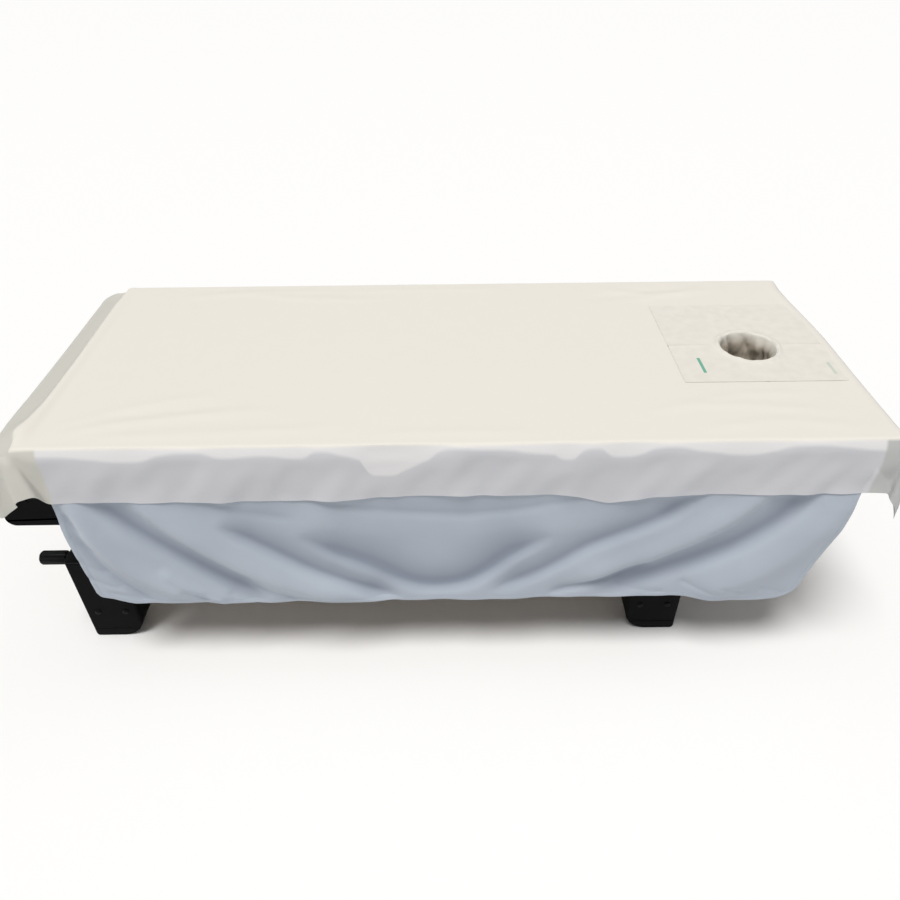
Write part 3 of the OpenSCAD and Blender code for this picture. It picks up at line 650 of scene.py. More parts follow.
# Swags of the front drop as (x, z) lines, with their depth and the widths of their two flanks.
swags = [
    ([(-0.80, 0.60), (-0.72, 0.50), (-0.637, 0.405), (-0.51, 0.29), (-0.40, 0.215)], -0.030, 0.036, 0.020),
    ([(-0.70, 0.60), (-0.652, 0.525), (-0.593, 0.457), (-0.515, 0.383), (-0.431, 0.319), (-0.30, 0.255),
      (-0.15, 0.22)], 0.019, 0.045, 0.028),
    ([(-0.60, 0.60), (-0.50, 0.53), (-0.41, 0.495), (-0.30, 0.475)], -0.006, 0.018, 0.014),
    ([(-0.50, 0.47), (-0.383, 0.381), (-0.278, 0.303), (-0.16, 0.244), (-0.07, 0.215)], -0.028, 0.034, 0.016),
    ([(-0.32, 0.44), (-0.245, 0.378), (-0.154, 0.328), (-0.073, 0.275), (-0.009, 0.256), (0.065, 0.268),
      (0.12, 0.305), (0.18, 0.36), (0.28, 0.43)], -0.034, 0.046, 0.018),
    ([(-0.834, 0.55), (-0.825, 0.48), (-0.806, 0.389), (-0.775, 0.31), (-0.72, 0.24), (-0.67, 0.20)],
     -0.010, 0.018, 0.011),
    ([(-0.83, 0.58), (-0.80, 0.50), (-0.775, 0.42), (-0.72, 0.33), (-0.64, 0.26), (-0.56, 0.22)],
     0.014, 0.028, 0.022),
    ([(-0.66, 0.33), (-0.60, 0.27), (-0.54, 0.23), (-0.50, 0.21)], 0.008, 0.018, 0.013),
    ([(0.86, 0.62), (0.829, 0.544), (0.79, 0.475), (0.752, 0.432), (0.697, 0.385), (0.616, 0.338),
      (0.532, 0.297), (0.444, 0.261), (0.36, 0.235)], -0.030, 0.040, 0.028),
    ([(0.93, 0.58), (0.90, 0.48), (0.85, 0.39), (0.79, 0.32), (0.70, 0.26), (0.60, 0.22)], 0.018, 0.060, 0.045),
    ([(0.78, 0.62), (0.72, 0.52), (0.64, 0.44), (0.54, 0.37), (0.42, 0.31), (0.30, 0.26)], 0.013, 0.038, 0.026),
    ([(0.62, 0.56), (0.52, 0.475), (0.425, 0.42), (0.35, 0.38), (0.283, 0.326), (0.213, 0.279), (0.116, 0.238)],
     -0.025, 0.034, 0.018),
    ([(0.52, 0.32), (0.445, 0.278), (0.364, 0.255), (0.26, 0.225)], -0.012, 0.018, 0.012),
    ([(-0.42, 0.58), (-0.294, 0.54), (-0.165, 0.508), (-0.032, 0.492), (0.10, 0.490), (0.24, 0.51),
      (0.38, 0.55)], -0.007, 0.022, 0.013),
    ([(0.67, 0.58), (0.60, 0.54), (0.548, 0.507), (0.50, 0.46)], -0.006, 0.018, 0.012),
    ([(-0.836, 0.50), (-0.822, 0.47), (-0.80, 0.44)], -0.0030, 0.008, 0.006),
    ([(-0.837, 0.44), (-0.82, 0.41), (-0.79, 0.375)], -0.0032, 0.008, 0.006),
    ([(-0.837, 0.37), (-0.815, 0.34), (-0.775, 0.31)], -0.0034, 0.009, 0.007),
    ([(-0.836, 0.31), (-0.80, 0.285), (-0.75, 0.262)], -0.0034, 0.009, 0.007),
    ([(-0.80, 0.255), (-0.74, 0.235), (-0.70, 0.218)], -0.0030, 0.008, 0.006),
    ([(-0.62, 0.258), (-0.585, 0.235), (-0.555, 0.208)], -0.0034, 0.008, 0.006),
    ([(-0.57, 0.25), (-0.53, 0.232), (-0.50, 0.208)], -0.0030, 0.008, 0.006),
    ([(-0.51, 0.248), (-0.46, 0.225), (-0.43, 0.208)], -0.0036, 0.009, 0.006),
    ([(-0.45, 0.265), (-0.38, 0.235), (-0.33, 0.208)], -0.0036, 0.009, 0.006),
    ([(0.42, 0.25), (0.50, 0.233), (0.57, 0.226)], -0.0034, 0.009, 0.006),
    ([(0.58, 0.27), (0.65, 0.238), (0.71, 0.222)], -0.0034, 0.009, 0.007),
    ([(0.68, 0.255), (0.75, 0.228), (0.80, 0.212)], -0.0032, 0.009, 0.006),
    ([(0.78, 0.25), (0.83, 0.225), (0.865, 0.215)], -0.0030, 0.008, 0.006),
]
hem_low = [(-0.84, 0.236), (-0.80, 0.231), (-0.75, 0.214), (-0.70, 0.209), (0.05, 0.209), (0.35, 0.213),
           (0.50, 0.214), (0.62, 0.213), (0.72, 0.200), (0.80, 0.196), (0.95, 0.198)]
head_side = [(0.19, 0.884), (0.263, 0.887), (0.301, 0.896), (0.369, 0.914), (0.43, 0.929), (0.498, 0.939),
             (0.556, 0.948), (0.66, 0.949)]
foot_side = [(0.19, -0.821), (0.243, -0.824), (0.297, -0.829), (0.365, -0.836), (0.421, -0.841), (0.46, -0.844),
             (0.66, -0.847)]


def swag_depth(side, x, z):
    """How far the folds push the drop in or out at a point; the back's folds mirror the front's."""
    depth = np.zeros(x.shape)
    for points, height, above, below in swags:
        if side > 0:
            points = [(0.106 - px, pz) for px, pz in points]
            height *= 0.9
        depth += fold(x, z, points, height, above, below)
    return depth


def drape(side, t, q):
    """A point of the sheet's drop: t along the table 0 to 1, q down from the bend to the hem."""
    x_flat = sheet_lo.x + (sheet_hi.x - sheet_lo.x) * t
    low = along(hem_low, x_flat)
    near_head = (1 - t) * (sheet_hi.x - sheet_lo.x)
    near_foot = t * (sheet_hi.x - sheet_lo.x)
    for near, r in ((near_head, 0.058), (near_foot, 0.014)):
        gap = np.clip(r - near, 0, r)
        low = low + r - np.sqrt(np.maximum(r * r - gap * gap, 0))
    z = drop_start + (low - drop_start) * q
    x = along(foot_side, z) + (along(head_side, z) - along(foot_side, z)) * t
    out = swag_depth(side, x, z)
    flutter = 0.0022 * np.sin(x * 21 + 1.3 * side) * q + 0.0012 * np.sin(x * 53 + z * 18) * q * q
    out = (out + flutter) * (0.3 + 0.7 * smooth_step((0.575 - z) / 0.09)) * smooth_step(q / 0.2)
    out += 0.004 * smooth_step(q) + 0.008 * smooth_step((0.52 - z) / 0.1)
    out = np.where(out < 0.004, 0.004 - 0.014 * (1 - np.exp((out - 0.004) / 0.014)), out)
    return np.stack([x, side * (side_y + out), z], -1)


across_n, down_n, top_n = 380, 96, 25
t_line = np.linspace(0, 1, across_n)


def hanging(side):
    """All the points of one drop, from the bend down."""
    q_grid, t_grid = np.meshgrid(np.linspace(0, 1, down_n), t_line, indexing="ij")
    return list(drape(side, t_grid, q_grid))


x_top = drape(-1, t_line, np.zeros(across_n))[:, 0]


def level_row(y, z):
    return np.stack([x_top, np.full(across_n, y), np.full(across_n, z)], 1)


bend_angles = np.linspace(0, math.pi / 2, 6)[1:]
bend_rows = [(side_y - edge_bend * (1 - math.cos(a)), drop_start + edge_bend * math.sin(a)) for a in bend_angles]
flat_half = side_y - edge_bend
rows = hanging(-1)[::-1] + [level_row(-y, z) for y, z in bend_rows]
rows += [level_row(y, sheet_top) for y in np.linspace(-flat_half, flat_half, top_n)[1:-1]]
rows += [level_row(y, z) for y, z in bend_rows[::-1]] + hanging(1)


def cloth_from_rows(name, rows, skip=None):
    """A single sheet from rows of points, with its flat size in metres as the UV map."""
    grid = np.array(rows)
    m, n = grid.shape[:2]
    verts = grid.reshape(-1, 3)
    faces = []
    for i in range(m - 1):
        for j in range(n - 1):
            quad = (i * n + j, i * n + j + 1, (i + 1) * n + j + 1, (i + 1) * n + j)
            middle = verts[list(quad)].mean(0)
            if skip is None or not skip(middle):
                faces.append(quad)
    data = bpy.data.meshes.new(name)
    data.from_pydata([tuple(v) for v in verts], [], faces)
    across = np.zeros((m, n))
    across[:, 1:] = np.cumsum(np.linalg.norm(np.diff(grid, axis=1), axis=2), axis=1)
    down = np.zeros((m, n))
    down[1:] = np.cumsum(np.linalg.norm(np.diff(grid, axis=0), axis=2), axis=0)
    flat = np.stack([across, down], -1).reshape(-1, 2)
    uv = data.uv_layers.new(name="flat")
    index = np.zeros(len(data.loops), int)
    data.loops.foreach_get("vertex_index", index)
    uv.data.foreach_set("uv", flat[index].ravel())
    piece = bpy.data.objects.new(name, data)
    bpy.context.scene.collection.objects.link(piece)
    data.shade_smooth()
    return piece


draped_sheet = cloth_from_rows(
    "blue_drape", rows,
    skip=lambda p: p[2] > sheet_top - 1e-4 and math.hypot(p[0] - hole_x, p[1] - hole_y) < hole_r + 0.02)
blue_cotton = material("blue_cotton", (0.43, 0.475, 0.54), 0.85, specular=0.15)
blue_cotton.node_tree.nodes["Principled BSDF"].inputs["Sheen Weight"].default_value = 0.25
blue_cotton.node_tree.nodes["Principled BSDF"].inputs["Sheen Roughness"].default_value = 0.5
cotton_cloud = mottle(blue_cotton, 0.8, 0.92, 5.0)
blend_colour(blue_cotton, (0.415, 0.458, 0.525), (0.445, 0.49, 0.555), cotton_cloud)
thread = 0.0006
weave_uv = node(blue_cotton, "ShaderNodeUVMap")
weave_uv.uv_map = "flat"
weft = node(blue_cotton, "ShaderNodeTexWave", Scale=0.5 / thread / math.pi, Distortion=0.4)
weft.bands_direction = "X"
warp = node(blue_cotton, "ShaderNodeTexWave", Scale=0.5 / thread / math.pi, Distortion=0.4)
warp.bands_direction = "Y"
weave = node(blue_cotton, "ShaderNodeMath")
weave.operation = "MAXIMUM"
weave_bump = node(blue_cotton, "ShaderNodeBump", Strength=0.35, Distance=0.0002)
link(blue_cotton, weave_uv, "UV", weft, "Vector")
link(blue_cotton, weave_uv, "UV", warp, "Vector")
link(blue_cotton, weft, "Fac", weave, 0)
link(blue_cotton, warp, "Fac", weave, 1)
link(blue_cotton, weave, 0, weave_bump, "Height")
link(blue_cotton, weave_bump, "Normal", blue_cotton.node_tree.nodes["Principled BSDF"], "Normal")
draped_sheet.data.materials.append(blue_cotton)

# Painted shade: the cloth's colour is darkened towards the bottom of each deep fold, where less light reaches the
# weave.
sheet_co = np.zeros(len(draped_sheet.data.vertices) * 3)
draped_sheet.data.vertices.foreach_get("co", sheet_co)
sheet_co = sheet_co.reshape(-1, 3)
valley = np.zeros(len(sheet_co))
for side in (-1, 1):
    x, y, z = sheet_co[sheet_co[:, 1] * side > 0].T
    valley[sheet_co[:, 1] * side > 0] = np.clip(-swag_depth(side, x, z) / 0.030, 0, 1) * smooth_step((0.575 - z) / 0.09)
valley_shade_attribute = draped_sheet.data.attributes.new("valley", "FLOAT", "POINT")
valley_shade_attribute.data.foreach_set("value", valley)
valley_shade_read = node(blue_cotton, "ShaderNodeAttribute")
valley_shade_read.attribute_name = "valley"
valley_shade_amount = node(blue_cotton, "ShaderNodeMath")
valley_shade_amount.operation = "MULTIPLY"
valley_shade_amount.inputs[1].default_value = 0.85
link(blue_cotton, valley_shade_read, "Fac", valley_shade_amount, 0)
valley_shade_mix = node(blue_cotton, "ShaderNodeMix")
valley_shade_mix.data_type = "RGBA"
valley_shade_in = [i for i in valley_shade_mix.inputs if i.enabled]
# The painted shade's colour, a dark greyish blue.
valley_shade_in[2].default_value = (0.235, 0.27, 0.34, 1)
cotton_base = blue_cotton.node_tree.nodes["Principled BSDF"].inputs["Base Color"]
blue_cotton.node_tree.links.new(valley_shade_amount.outputs[0], valley_shade_in[0])
blue_cotton.node_tree.links.new(cotton_base.links[0].from_socket, valley_shade_in[1])
blue_cotton.node_tree.links.new(next(o for o in valley_shade_mix.outputs if o.enabled), cotton_base)
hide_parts("draped_sheet")
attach(draped_sheet, "table")

# The hem: the sheet's edge folded over 12 mm and stitched down, so it lies as a slightly
# prouder band along both hems and up the sides.

hem_w = 0.012
hem_rise = 0.0007
drop_len = drop_start - 0.209


def drape_off(side, t, q, lift):
    """A point of the drop, lifted off the cloth along its own normal."""
    step = 1e-3
    here = drape(side, t, q)
    e_t = drape(side, np.clip(t + step, 0, 1), q) - drape(side, np.clip(t - step, 0, 1), q)
    e_q = drape(side, t, np.clip(q + step, 0, 1)) - drape(side, t, np.clip(q - step, 0, 1))
    normal = np.cross(e_t, e_q)
    normal /= np.maximum(np.linalg.norm(normal, axis=-1), 1e-12)[..., None]
    normal *= np.sign(normal[..., 1:2] * side)
    return here + normal * lift


hem_strips = []
stitch_places = []
sheet_len = sheet_hi.x - sheet_lo.x
for side in (-1, 1):
    q_in = 1 - hem_w / drop_len
    t_in = hem_w / sheet_len
    bands = [
        [(t_line, np.full(across_n, q)) for q in np.linspace(q_in, 1, 4)],
        [(np.full(down_n, t), np.linspace(0.25, q_in, down_n)) for t in np.linspace(0, t_in, 4)],
        [(np.full(down_n, 1 - t), np.linspace(0.25, q_in, down_n)) for t in np.linspace(0, t_in, 4)],
    ]
    for band in bands:
        lifts = (0.0001, hem_rise, hem_rise, 0.0001)
        strip = [drape_off(side, t, q, lift) for (t, q), lift in zip(band, lifts)]
        hem_strips.append(cloth_from_rows("hem_strip", strip))
    stitch_gap = 0.005
    runs = [
        (np.linspace(t_in, 1 - t_in, int(sheet_len / stitch_gap)), None, 1 - 0.8 * hem_w / drop_len),
        (t_in * 0.8, np.linspace(0.28, q_in, int(0.7 * drop_len / stitch_gap)), None),
        (1 - t_in * 0.8, np.linspace(0.28, q_in, int(0.7 * drop_len / stitch_gap)), None),
    ]
    for t, q, fixed in runs:
        t_run = t if fixed is not None else np.full(len(q), t)
        q_run = q if fixed is None else np.full(len(t), fixed)
        spots = drape_off(side, t_run, q_run, hem_rise + 0.0002)
        ways = np.gradient(spots, axis=0)
        ways /= np.maximum(np.linalg.norm(ways, axis=1), 1e-9)[:, None]
        stitch_places += list(zip(spots, ways))


def joined(name, parts):
    """Several meshes as one piece."""
    mesh = bmesh.new()
    for part in parts:
        mesh.from_mesh(part.data)
    data = bpy.data.meshes.new(name)
    mesh.to_mesh(data)
    mesh.free()
    for part in parts:
        bpy.data.objects.remove(part)
    piece = bpy.data.objects.new(name, data)
    bpy.context.scene.collection.objects.link(piece)
    data.shade_smooth()
    return piece


sheet_hem = joined("blue_drape_hem", hem_strips)
sheet_hem.data.materials.append(blue_cotton)
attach(sheet_hem, "table")


def stitch_blank(length, radius):
    """One stitch: a short thread lying along Z, pointed at both ends."""
    mesh = bmesh.new()
    bmesh.ops.create_cone(mesh, cap_ends=True, segments=5, radius1=radius, radius2=radius, depth=length * 0.7)
    for s in (-1, 1):
        cap = [v for v in mesh.verts if v.co.z * s > 0]
        tip = mesh.verts.new((0, 0, s * length / 2))
        face = next(f for f in mesh.faces if set(f.verts) == set(cap))
        ring = [loop.vert for loop in face.loops]
        mesh.faces.remove(face)
        for a, b in zip(ring, ring[1:] + ring[:1]):
            mesh.faces.new((a, b, tip))
    data = bpy.data.meshes.new("stitch")
    mesh.to_mesh(data)
    mesh.free()
    blank = bpy.data.objects.new("stitch", data)
    bpy.context.scene.collection.objects.link(blank)
    return blank


pale_thread = material("pale_blue_thread", (0.56, 0.63, 0.72), 0.7, specular=0.2)
thread_cloud = mottle(pale_thread, 0.6, 0.8, 300.0)
blend_colour(pale_thread, (0.5, 0.58, 0.68), (0.6, 0.67, 0.75), thread_cloud)
hem_stitches = repeat_at("blue_drape_stitches", stitch_places, stitch_blank(0.0035, 0.0003), pale_thread)
hem_stitches.data.shade_smooth()
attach(hem_stitches, "table")

# ---------------------------------------------------------------------------------------------
# The topper: 24 mm of soft foam in a brushed cream cotton cover, loose on the sheet. It stops
# short of the deck's foot end, where it leaves a low step.

topper_lo, topper_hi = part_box("topper_cover")


def topper_edge(x):
    return 0.009


topper_cover = closed_pad("topper_cotton_cover", topper_lo.x, topper_hi.x, topper_hi.y, topper_lo.z + 0.0004,
                          topper_hi.z - 0.0012, topper_edge, hole_r, crown=0.0006, belly=0.001)
smooth_by_angle(topper_cover, 50)
cream_cotton = material("cream_cotton", (0.80, 0.76, 0.66), 0.9, specular=0.15)
cream_cloud = mottle(cream_cotton, 0.85, 0.95, 12.0)
blend_colour(cream_cotton, (0.77, 0.73, 0.63), (0.83, 0.79, 0.69), cream_cloud)
grain_bump(cream_cotton, 420.0, 0.0005, strength=0.4)
topper_cover.data.materials.append(cream_cotton)
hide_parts("topper_cover")
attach(topper_cover, "table")

topper_skin = 0.0015
topper_foam = closed_pad("topper_foam_slab", topper_lo.x + topper_skin, topper_hi.x - topper_skin,
                         topper_hi.y - topper_skin, topper_lo.z + 0.0004 + topper_skin,
                         topper_hi.z - 0.0012 - topper_skin, topper_edge, hole_r + topper_skin)
smooth_by_angle(topper_foam, 50)
cream_foam = material("cream_foam", (0.80, 0.70, 0.48), 0.95, specular=0.1)
cream_foam_cloud = mottle(cream_foam, 0.9, 1.0, 40.0)
blend_colour(cream_foam, (0.76, 0.66, 0.44), (0.84, 0.74, 0.52), cream_foam_cloud)
grain_bump(cream_foam, 600.0, 0.0007, texture="ShaderNodeTexVoronoi", out="Distance", strength=0.6)
topper_foam.data.materials.append(cream_foam)
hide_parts("topper_foam")
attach(topper_foam, "table")

# ---------------------------------------------------------------------------------------------
# The disposable sheet: thin translucent non-woven film, cut 2.19 by 1.05 m, thrown over the
# topper so that it hangs about 130 mm on every side and falls in ears at the corners.

film_lo, film_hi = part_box("disposable_sheet")
film_top = film_hi.z
film_cell = 0.015
film_flat_x = (-1.072, 1.112)
film_flat_y = 0.526
film_over_y = 0.3935
film_over_x = 0.984


def grid_lines(lo, hi, centre, cell):
    """Lines at whole cells from the hole's centre, and one at each edge."""
    first = math.ceil((lo - centre) / cell + 0.3)
    last = math.floor((hi - centre) / cell - 0.3)
    return np.array([lo] + [centre + i * cell for i in range(first, last + 1)] + [hi])


def holed_grid(xs, ys, inner, outer, radius):
    """Flat points and quads with a round hole; cells round the hole bend to follow it."""
    gx, gy = np.meshgrid(xs, ys, indexing="ij")
    dx, dy = gx - hole_x, gy - hole_y
    reach = np.maximum(np.abs(dx), np.abs(dy))
    length = np.maximum(np.hypot(dx, dy), 1e-9)
    weight = smooth_step((reach - inner) / (outer - inner))
    round_r = radius + (reach - inner) * (outer - radius) / (outer - inner)
    px = np.where(reach < outer, (dx / length * round_r) * (1 - weight) + dx * weight, dx) + hole_x
    py = np.where(reach < outer, (dy / length * round_r) * (1 - weight) + dy * weight, dy) + hole_y
    n = len(ys)
    faces = []
    for i in range(len(xs) - 1):
        for j in range(n - 1):
            corners = [(i, j), (i + 1, j), (i + 1, j + 1), (i, j + 1)]
            if max(reach[c] for c in corners) > inner + 1e-6:
                faces.append([a * n + b for a, b in corners])
    return np.stack([px.ravel(), py.ravel()], 1), faces


def holed_sheet(name, flat, faces, z):
    used = sorted({i for f in faces for i in f})
    renumber = {old: new for new, old in enumerate(used)}
    data = bpy.data.meshes.new(name)
    data.from_pydata([(*flat[i], z) for i in used], [], [[renumber[i] for i in f] for f in faces])
    uv = data.uv_layers.new(name="flat")
    index = np.zeros(len(data.loops), int)
    data.loops.foreach_get("vertex_index", index)
    uv.data.foreach_set("uv", flat[used][index].ravel())
    piece = bpy.data.objects.new(name, data)
    bpy.context.scene.collection.objects.link(piece)
    return piece, flat[used]


film_edge_y = 0.3825
edge_rows = [side * (film_edge_y + d) for side in (-1, 1) for d in (-0.002, 0.0015)]
film_ys = np.sort(np.concatenate([grid_lines(-film_flat_y, film_flat_y, hole_y, film_cell), edge_rows]))
film_points, film_faces = holed_grid(
    grid_lines(*film_flat_x, hole_x, film_cell), film_ys,
    4 * film_cell, 9 * film_cell, hole_r - 0.001)
film, film_flat = holed_sheet("disposable_film", film_points, film_faces, film_top + 0.0002)

# A hidden former with the shape of the made-up table: the film falls on it and it's then removed.
former_profile = [(-0.981, 0.40), (film_over_x, 0.40), (film_over_x, 0.6765), (-0.889, 0.6765), (-0.893, 0.6560)]
roll_centre, roll_r = (-0.9385, 0.6085), 0.0425
for a in np.linspace(75, 180, 10):
    former_profile.append((roll_centre[0] + roll_r * math.cos(math.radians(a)),
                           roll_centre[1] + roll_r * math.sin(math.radians(a))))
former_mesh = bmesh.new()
former_edge = [former_mesh.verts.new((x, -film_over_y, z)) for x, z in former_profile]
former_face = former_mesh.faces.new(former_edge)
grown = bmesh.ops.extrude_face_region(former_mesh, geom=[former_face])
for v in grown["geom"]:
    if isinstance(v, bmesh.types.BMVert):
        v.co.y = film_over_y
bmesh.ops.recalc_face_normals(former_mesh, faces=former_mesh.faces)
former_data = bpy.data.meshes.new("former")
former_mesh.to_mesh(former_data)
former_mesh.free()
former = bpy.data.objects.new("former", former_data)
bpy.context.scene.collection.objects.link(former)
former_round = former.modifiers.new("round", "BEVEL")
former_round.width = 0.005
former_round.segments = 3
former_round.limit_method = "ANGLE"
former_round.angle_limit = math.radians(40)
settle(former)
former.modifiers.new("collision", "COLLISION")
former.collision.thickness_outer = 0.001
former.collision.thickness_inner = 0.03
former.collision.cloth_friction = 25

hold = film.vertex_groups.new(name="hold")
on_top = [i for i, (x, y) in enumerate(film_flat) if abs(y) < 0.35 and -0.86 < x < 0.96]
hold.add(on_top, 1.0, "REPLACE")
cloth = film.modifiers.new("cloth", "CLOTH")
cloth.settings.quality = 6
cloth.settings.mass = 0.06
cloth.settings.tension_stiffness = 25
cloth.settings.compression_stiffness = 25
cloth.settings.shear_stiffness = 12
cloth.settings.bending_stiffness = 0.4
cloth.settings.tension_damping = 12
cloth.settings.air_damping = 2.5
cloth.settings.vertex_group_mass = "hold"
cloth.collision_settings.distance_min = 0.0015
cloth.collision_settings.collision_quality = 3
cloth.point_cache.frame_start = 1
settle_frames = 62
cloth.point_cache.frame_end = settle_frames
for f in range(1, settle_frames + 1):
    bpy.context.scene.frame_set(f)
settle(film)
bpy.context.scene.frame_set(1)
bpy.data.objects.remove(former)

# Handling has left shallow creases on the top, and each long drop leans out over the topper's
# edge before it falls straight, lower in some places than in others.
film_creases = [
    ([(-0.87, -0.365), (-0.72, -0.31), (-0.52, -0.27), (-0.30, -0.255)], 0.0034, 0.014, 0.008),
    ([(-0.86, -0.33), (-0.68, -0.24), (-0.47, -0.18)], 0.0026, 0.012, 0.008),
    ([(-0.84, -0.375), (-0.62, -0.345), (-0.36, -0.335), (-0.16, -0.31)], 0.0030, 0.012, 0.007),
    ([(-0.80, -0.28), (-0.62, -0.265), (-0.44, -0.225)], -0.0022, 0.012, 0.008),
    ([(0.42, -0.30), (0.62, -0.255), (0.93, -0.29)], 0.0028, 0.012, 0.007),
    ([(0.55, -0.355), (0.75, -0.32), (0.95, -0.35)], 0.0026, 0.012, 0.007),
    ([(0.50, -0.27), (0.70, -0.215), (0.90, -0.21)], 0.0022, 0.010, 0.007),
    ([(0.44, 0.345), (0.62, 0.295), (0.84, 0.33)], 0.0030, 0.013, 0.008),
    ([(0.50, 0.26), (0.66, 0.29), (0.80, 0.36)], 0.0026, 0.012, 0.008),
    ([(0.40, 0.27), (0.55, 0.30), (0.70, 0.345)], -0.0022, 0.010, 0.008),
    ([(-0.30, 0.33), (-0.05, 0.35), (0.25, 0.34)], 0.0024, 0.013, 0.009),
    ([(-0.75, 0.30), (-0.50, 0.34), (-0.25, 0.35)], 0.0026, 0.013, 0.009),
    ([(-0.60, 0.36), (-0.40, 0.30), (-0.10, 0.285)], 0.0022, 0.013, 0.009),
    ([(-0.20, -0.365), (0.05, -0.345), (0.30, -0.365)], 0.0026, 0.012, 0.007),
]
lean_foot = [(-1.1, 0.655), (-0.86, 0.655), (-0.80, 0.662), (-0.72, 0.655), (-0.64, 0.648), (-0.58, 0.662),
             (-0.50, 0.668), (-0.44, 0.655), (-0.36, 0.660), (-0.28, 0.652), (-0.244, 0.667), (-0.20, 0.660),
             (-0.152, 0.644), (-0.124, 0.605), (-0.095, 0.604), (-0.067, 0.615), (-0.006, 0.647), (0.055, 0.671),
             (0.10, 0.668), (0.149, 0.667), (0.20, 0.660), (0.257, 0.654), (0.288, 0.642), (0.31, 0.655),
             (0.342, 0.667), (0.37, 0.655), (0.396, 0.646), (0.44, 0.652), (0.50, 0.668), (0.56, 0.660),
             (0.60, 0.655), (0.66, 0.648), (0.72, 0.656), (0.80, 0.668), (0.88, 0.662), (0.96, 0.655), (1.1, 0.655)]
film_hem = [(-1.07, 0.0), (-0.86, 0.0), (-0.29, -0.003), (-0.118, 0.004), (0.057, 0.008), (0.30, 0.004),
            (0.345, -0.010), (0.39, -0.021), (0.43, -0.010), (0.47, -0.004), (0.54, 0.0), (0.75, 0.0), (1.11, 0.0)]
lean_out = 0.0135


def shape_film(verts, flat):
    x, y = flat[:, 0], flat[:, 1]
    lift = np.zeros(len(x))
    for points, height, above, below in film_creases:
        lift += fold(x, y, points, height, above, below, fade=0.3)
    on_deck = smooth_step((0.375 - np.abs(y)) / 0.03) * smooth_step((x + 0.87) / 0.03) * smooth_step((0.975 - x) / 0.03)
    verts[:, 2] += lift * on_deck
    inside = smooth_step((x + 0.90) / 0.06) * smooth_step((1.010 - x) / 0.02)
    s = np.abs(y) - film_edge_y
    side = np.sign(y)
    along_x = np.where(side < 0, x, -x)
    kink = film_top - along(lean_foot, along_x)
    reach = np.clip(s, 0, None)
    lean = 0.5 * (reach + kink - np.sqrt((reach - kink) ** 2 + 0.002 ** 2)) / kink
    ripple = 0.0036 * np.sin(along_x * 37) * np.sin(along_x * 11 + 1) + 0.0012 * np.sin(along_x * 83 + reach * 60)
    ripple += 0.0028 * np.sin(along_x * 19 + reach * 34 + 0.6)
    below = smooth_step((reach - kink) / 0.05)
    out = np.where(s > 0, film_edge_y + lean_out * lean + ripple * below, np.abs(y))
    under = np.zeros(len(x))
    for which in (-1, 1):
        rows_here = side == which
        z_here = film_top - reach[rows_here]
        first, last = along(foot_side, z_here), along(head_side, z_here)
        t_here = np.clip((x[rows_here] - first) / (last - first), 0, 1)
        q_here = np.clip((drop_start - z_here) / (drop_start - 0.21), 0, 1)
        under[rows_here] = np.abs(drape(which, t_here, q_here)[:, 1])
        under[rows_here] *= (z_here < sheet_top) * (x[rows_here] > first - 0.02) * (x[rows_here] < last + 0.02)
    out = np.maximum(out, under + 0.0022)
    corner = 0.5 * (reach + np.sqrt(reach ** 2 + 0.0015 ** 2)) - 0.00075
    down = film_top - corner + along(film_hem, along_x) * np.clip(s / 0.13, 0, 1.2)
    head_slack = smooth_step((0.36 - y) / 0.35) * smooth_step((x - 0.90) / 0.075)
    verts[:, 0] += 0.016 * head_slack
    at_head = smooth_step((x - 0.93) / 0.03) * smooth_step(s / 0.01)
    verts[:, 0] += (x + 0.016 * head_slack - verts[:, 0]) * at_head
    flare = np.abs(verts[:, 1]) - film_edge_y
    at_foot = smooth_step((-0.84 - x) / 0.03)
    verts[:, 1] -= side * 0.5 * np.clip(flare, 0, None) * at_foot
    near_edge = inside * smooth_step((s + 0.05) / 0.04)
    verts[:, 1] += (side * out - verts[:, 1]) * near_edge
    verts[:, 2] += (down - verts[:, 2]) * near_edge

    # At a head corner the two drops meet in an ear: a cone that opens away from the corner.
    corner_x = 0.984
    past = x - corner_x
    slant = np.hypot(past, reach)
    turn = 2 * math.pi * (1 - np.arctan2(reach, np.maximum(past, 1e-6)) / (math.pi / 2))
    wide = np.minimum(slant / 0.13, 1.15)
    outward = 0.015 * wide * (1 - np.cos(turn))
    sideways = 0.019 * wide * np.sin(turn)
    hold_in = lean_out * np.clip(slant / 0.03, 0, 1) * (1 - turn / (2 * math.pi))
    ear_x = corner_x + 0.006 + 0.016 * head_slack + (outward - sideways) * 0.7071
    ear_y = film_edge_y + hold_in + (outward + sideways) * 0.7071
    ear_z = film_top - np.sqrt(np.maximum(slant ** 2 - outward ** 2 - sideways ** 2, 0))
    ear_z -= 0.030 * np.clip(slant / 0.13, 0, 1) ** 2 * np.sin(np.clip(turn - 2.2, 0, 4.08) / 4.08 * math.pi)
    ear = smooth_step(past / 0.012) * smooth_step(reach / 0.008)
    verts[:, 0] += (ear_x - verts[:, 0]) * ear
    verts[:, 1] += (side * ear_y - verts[:, 1]) * ear
    verts[:, 2] += (ear_z - verts[:, 2]) * ear
    return verts


film_co = np.array([v.co[:] for v in film.data.vertices])
film_co = shape_film(film_co, film_flat)
film_limit = np.array([0.040, 0.026])
film_co[:, :2] = np.clip(film_co[:, :2], np.array(film_lo[:2]) - film_limit, np.array(film_hi[:2]) + film_limit)
film.data.vertices.foreach_set("co", film_co.ravel())


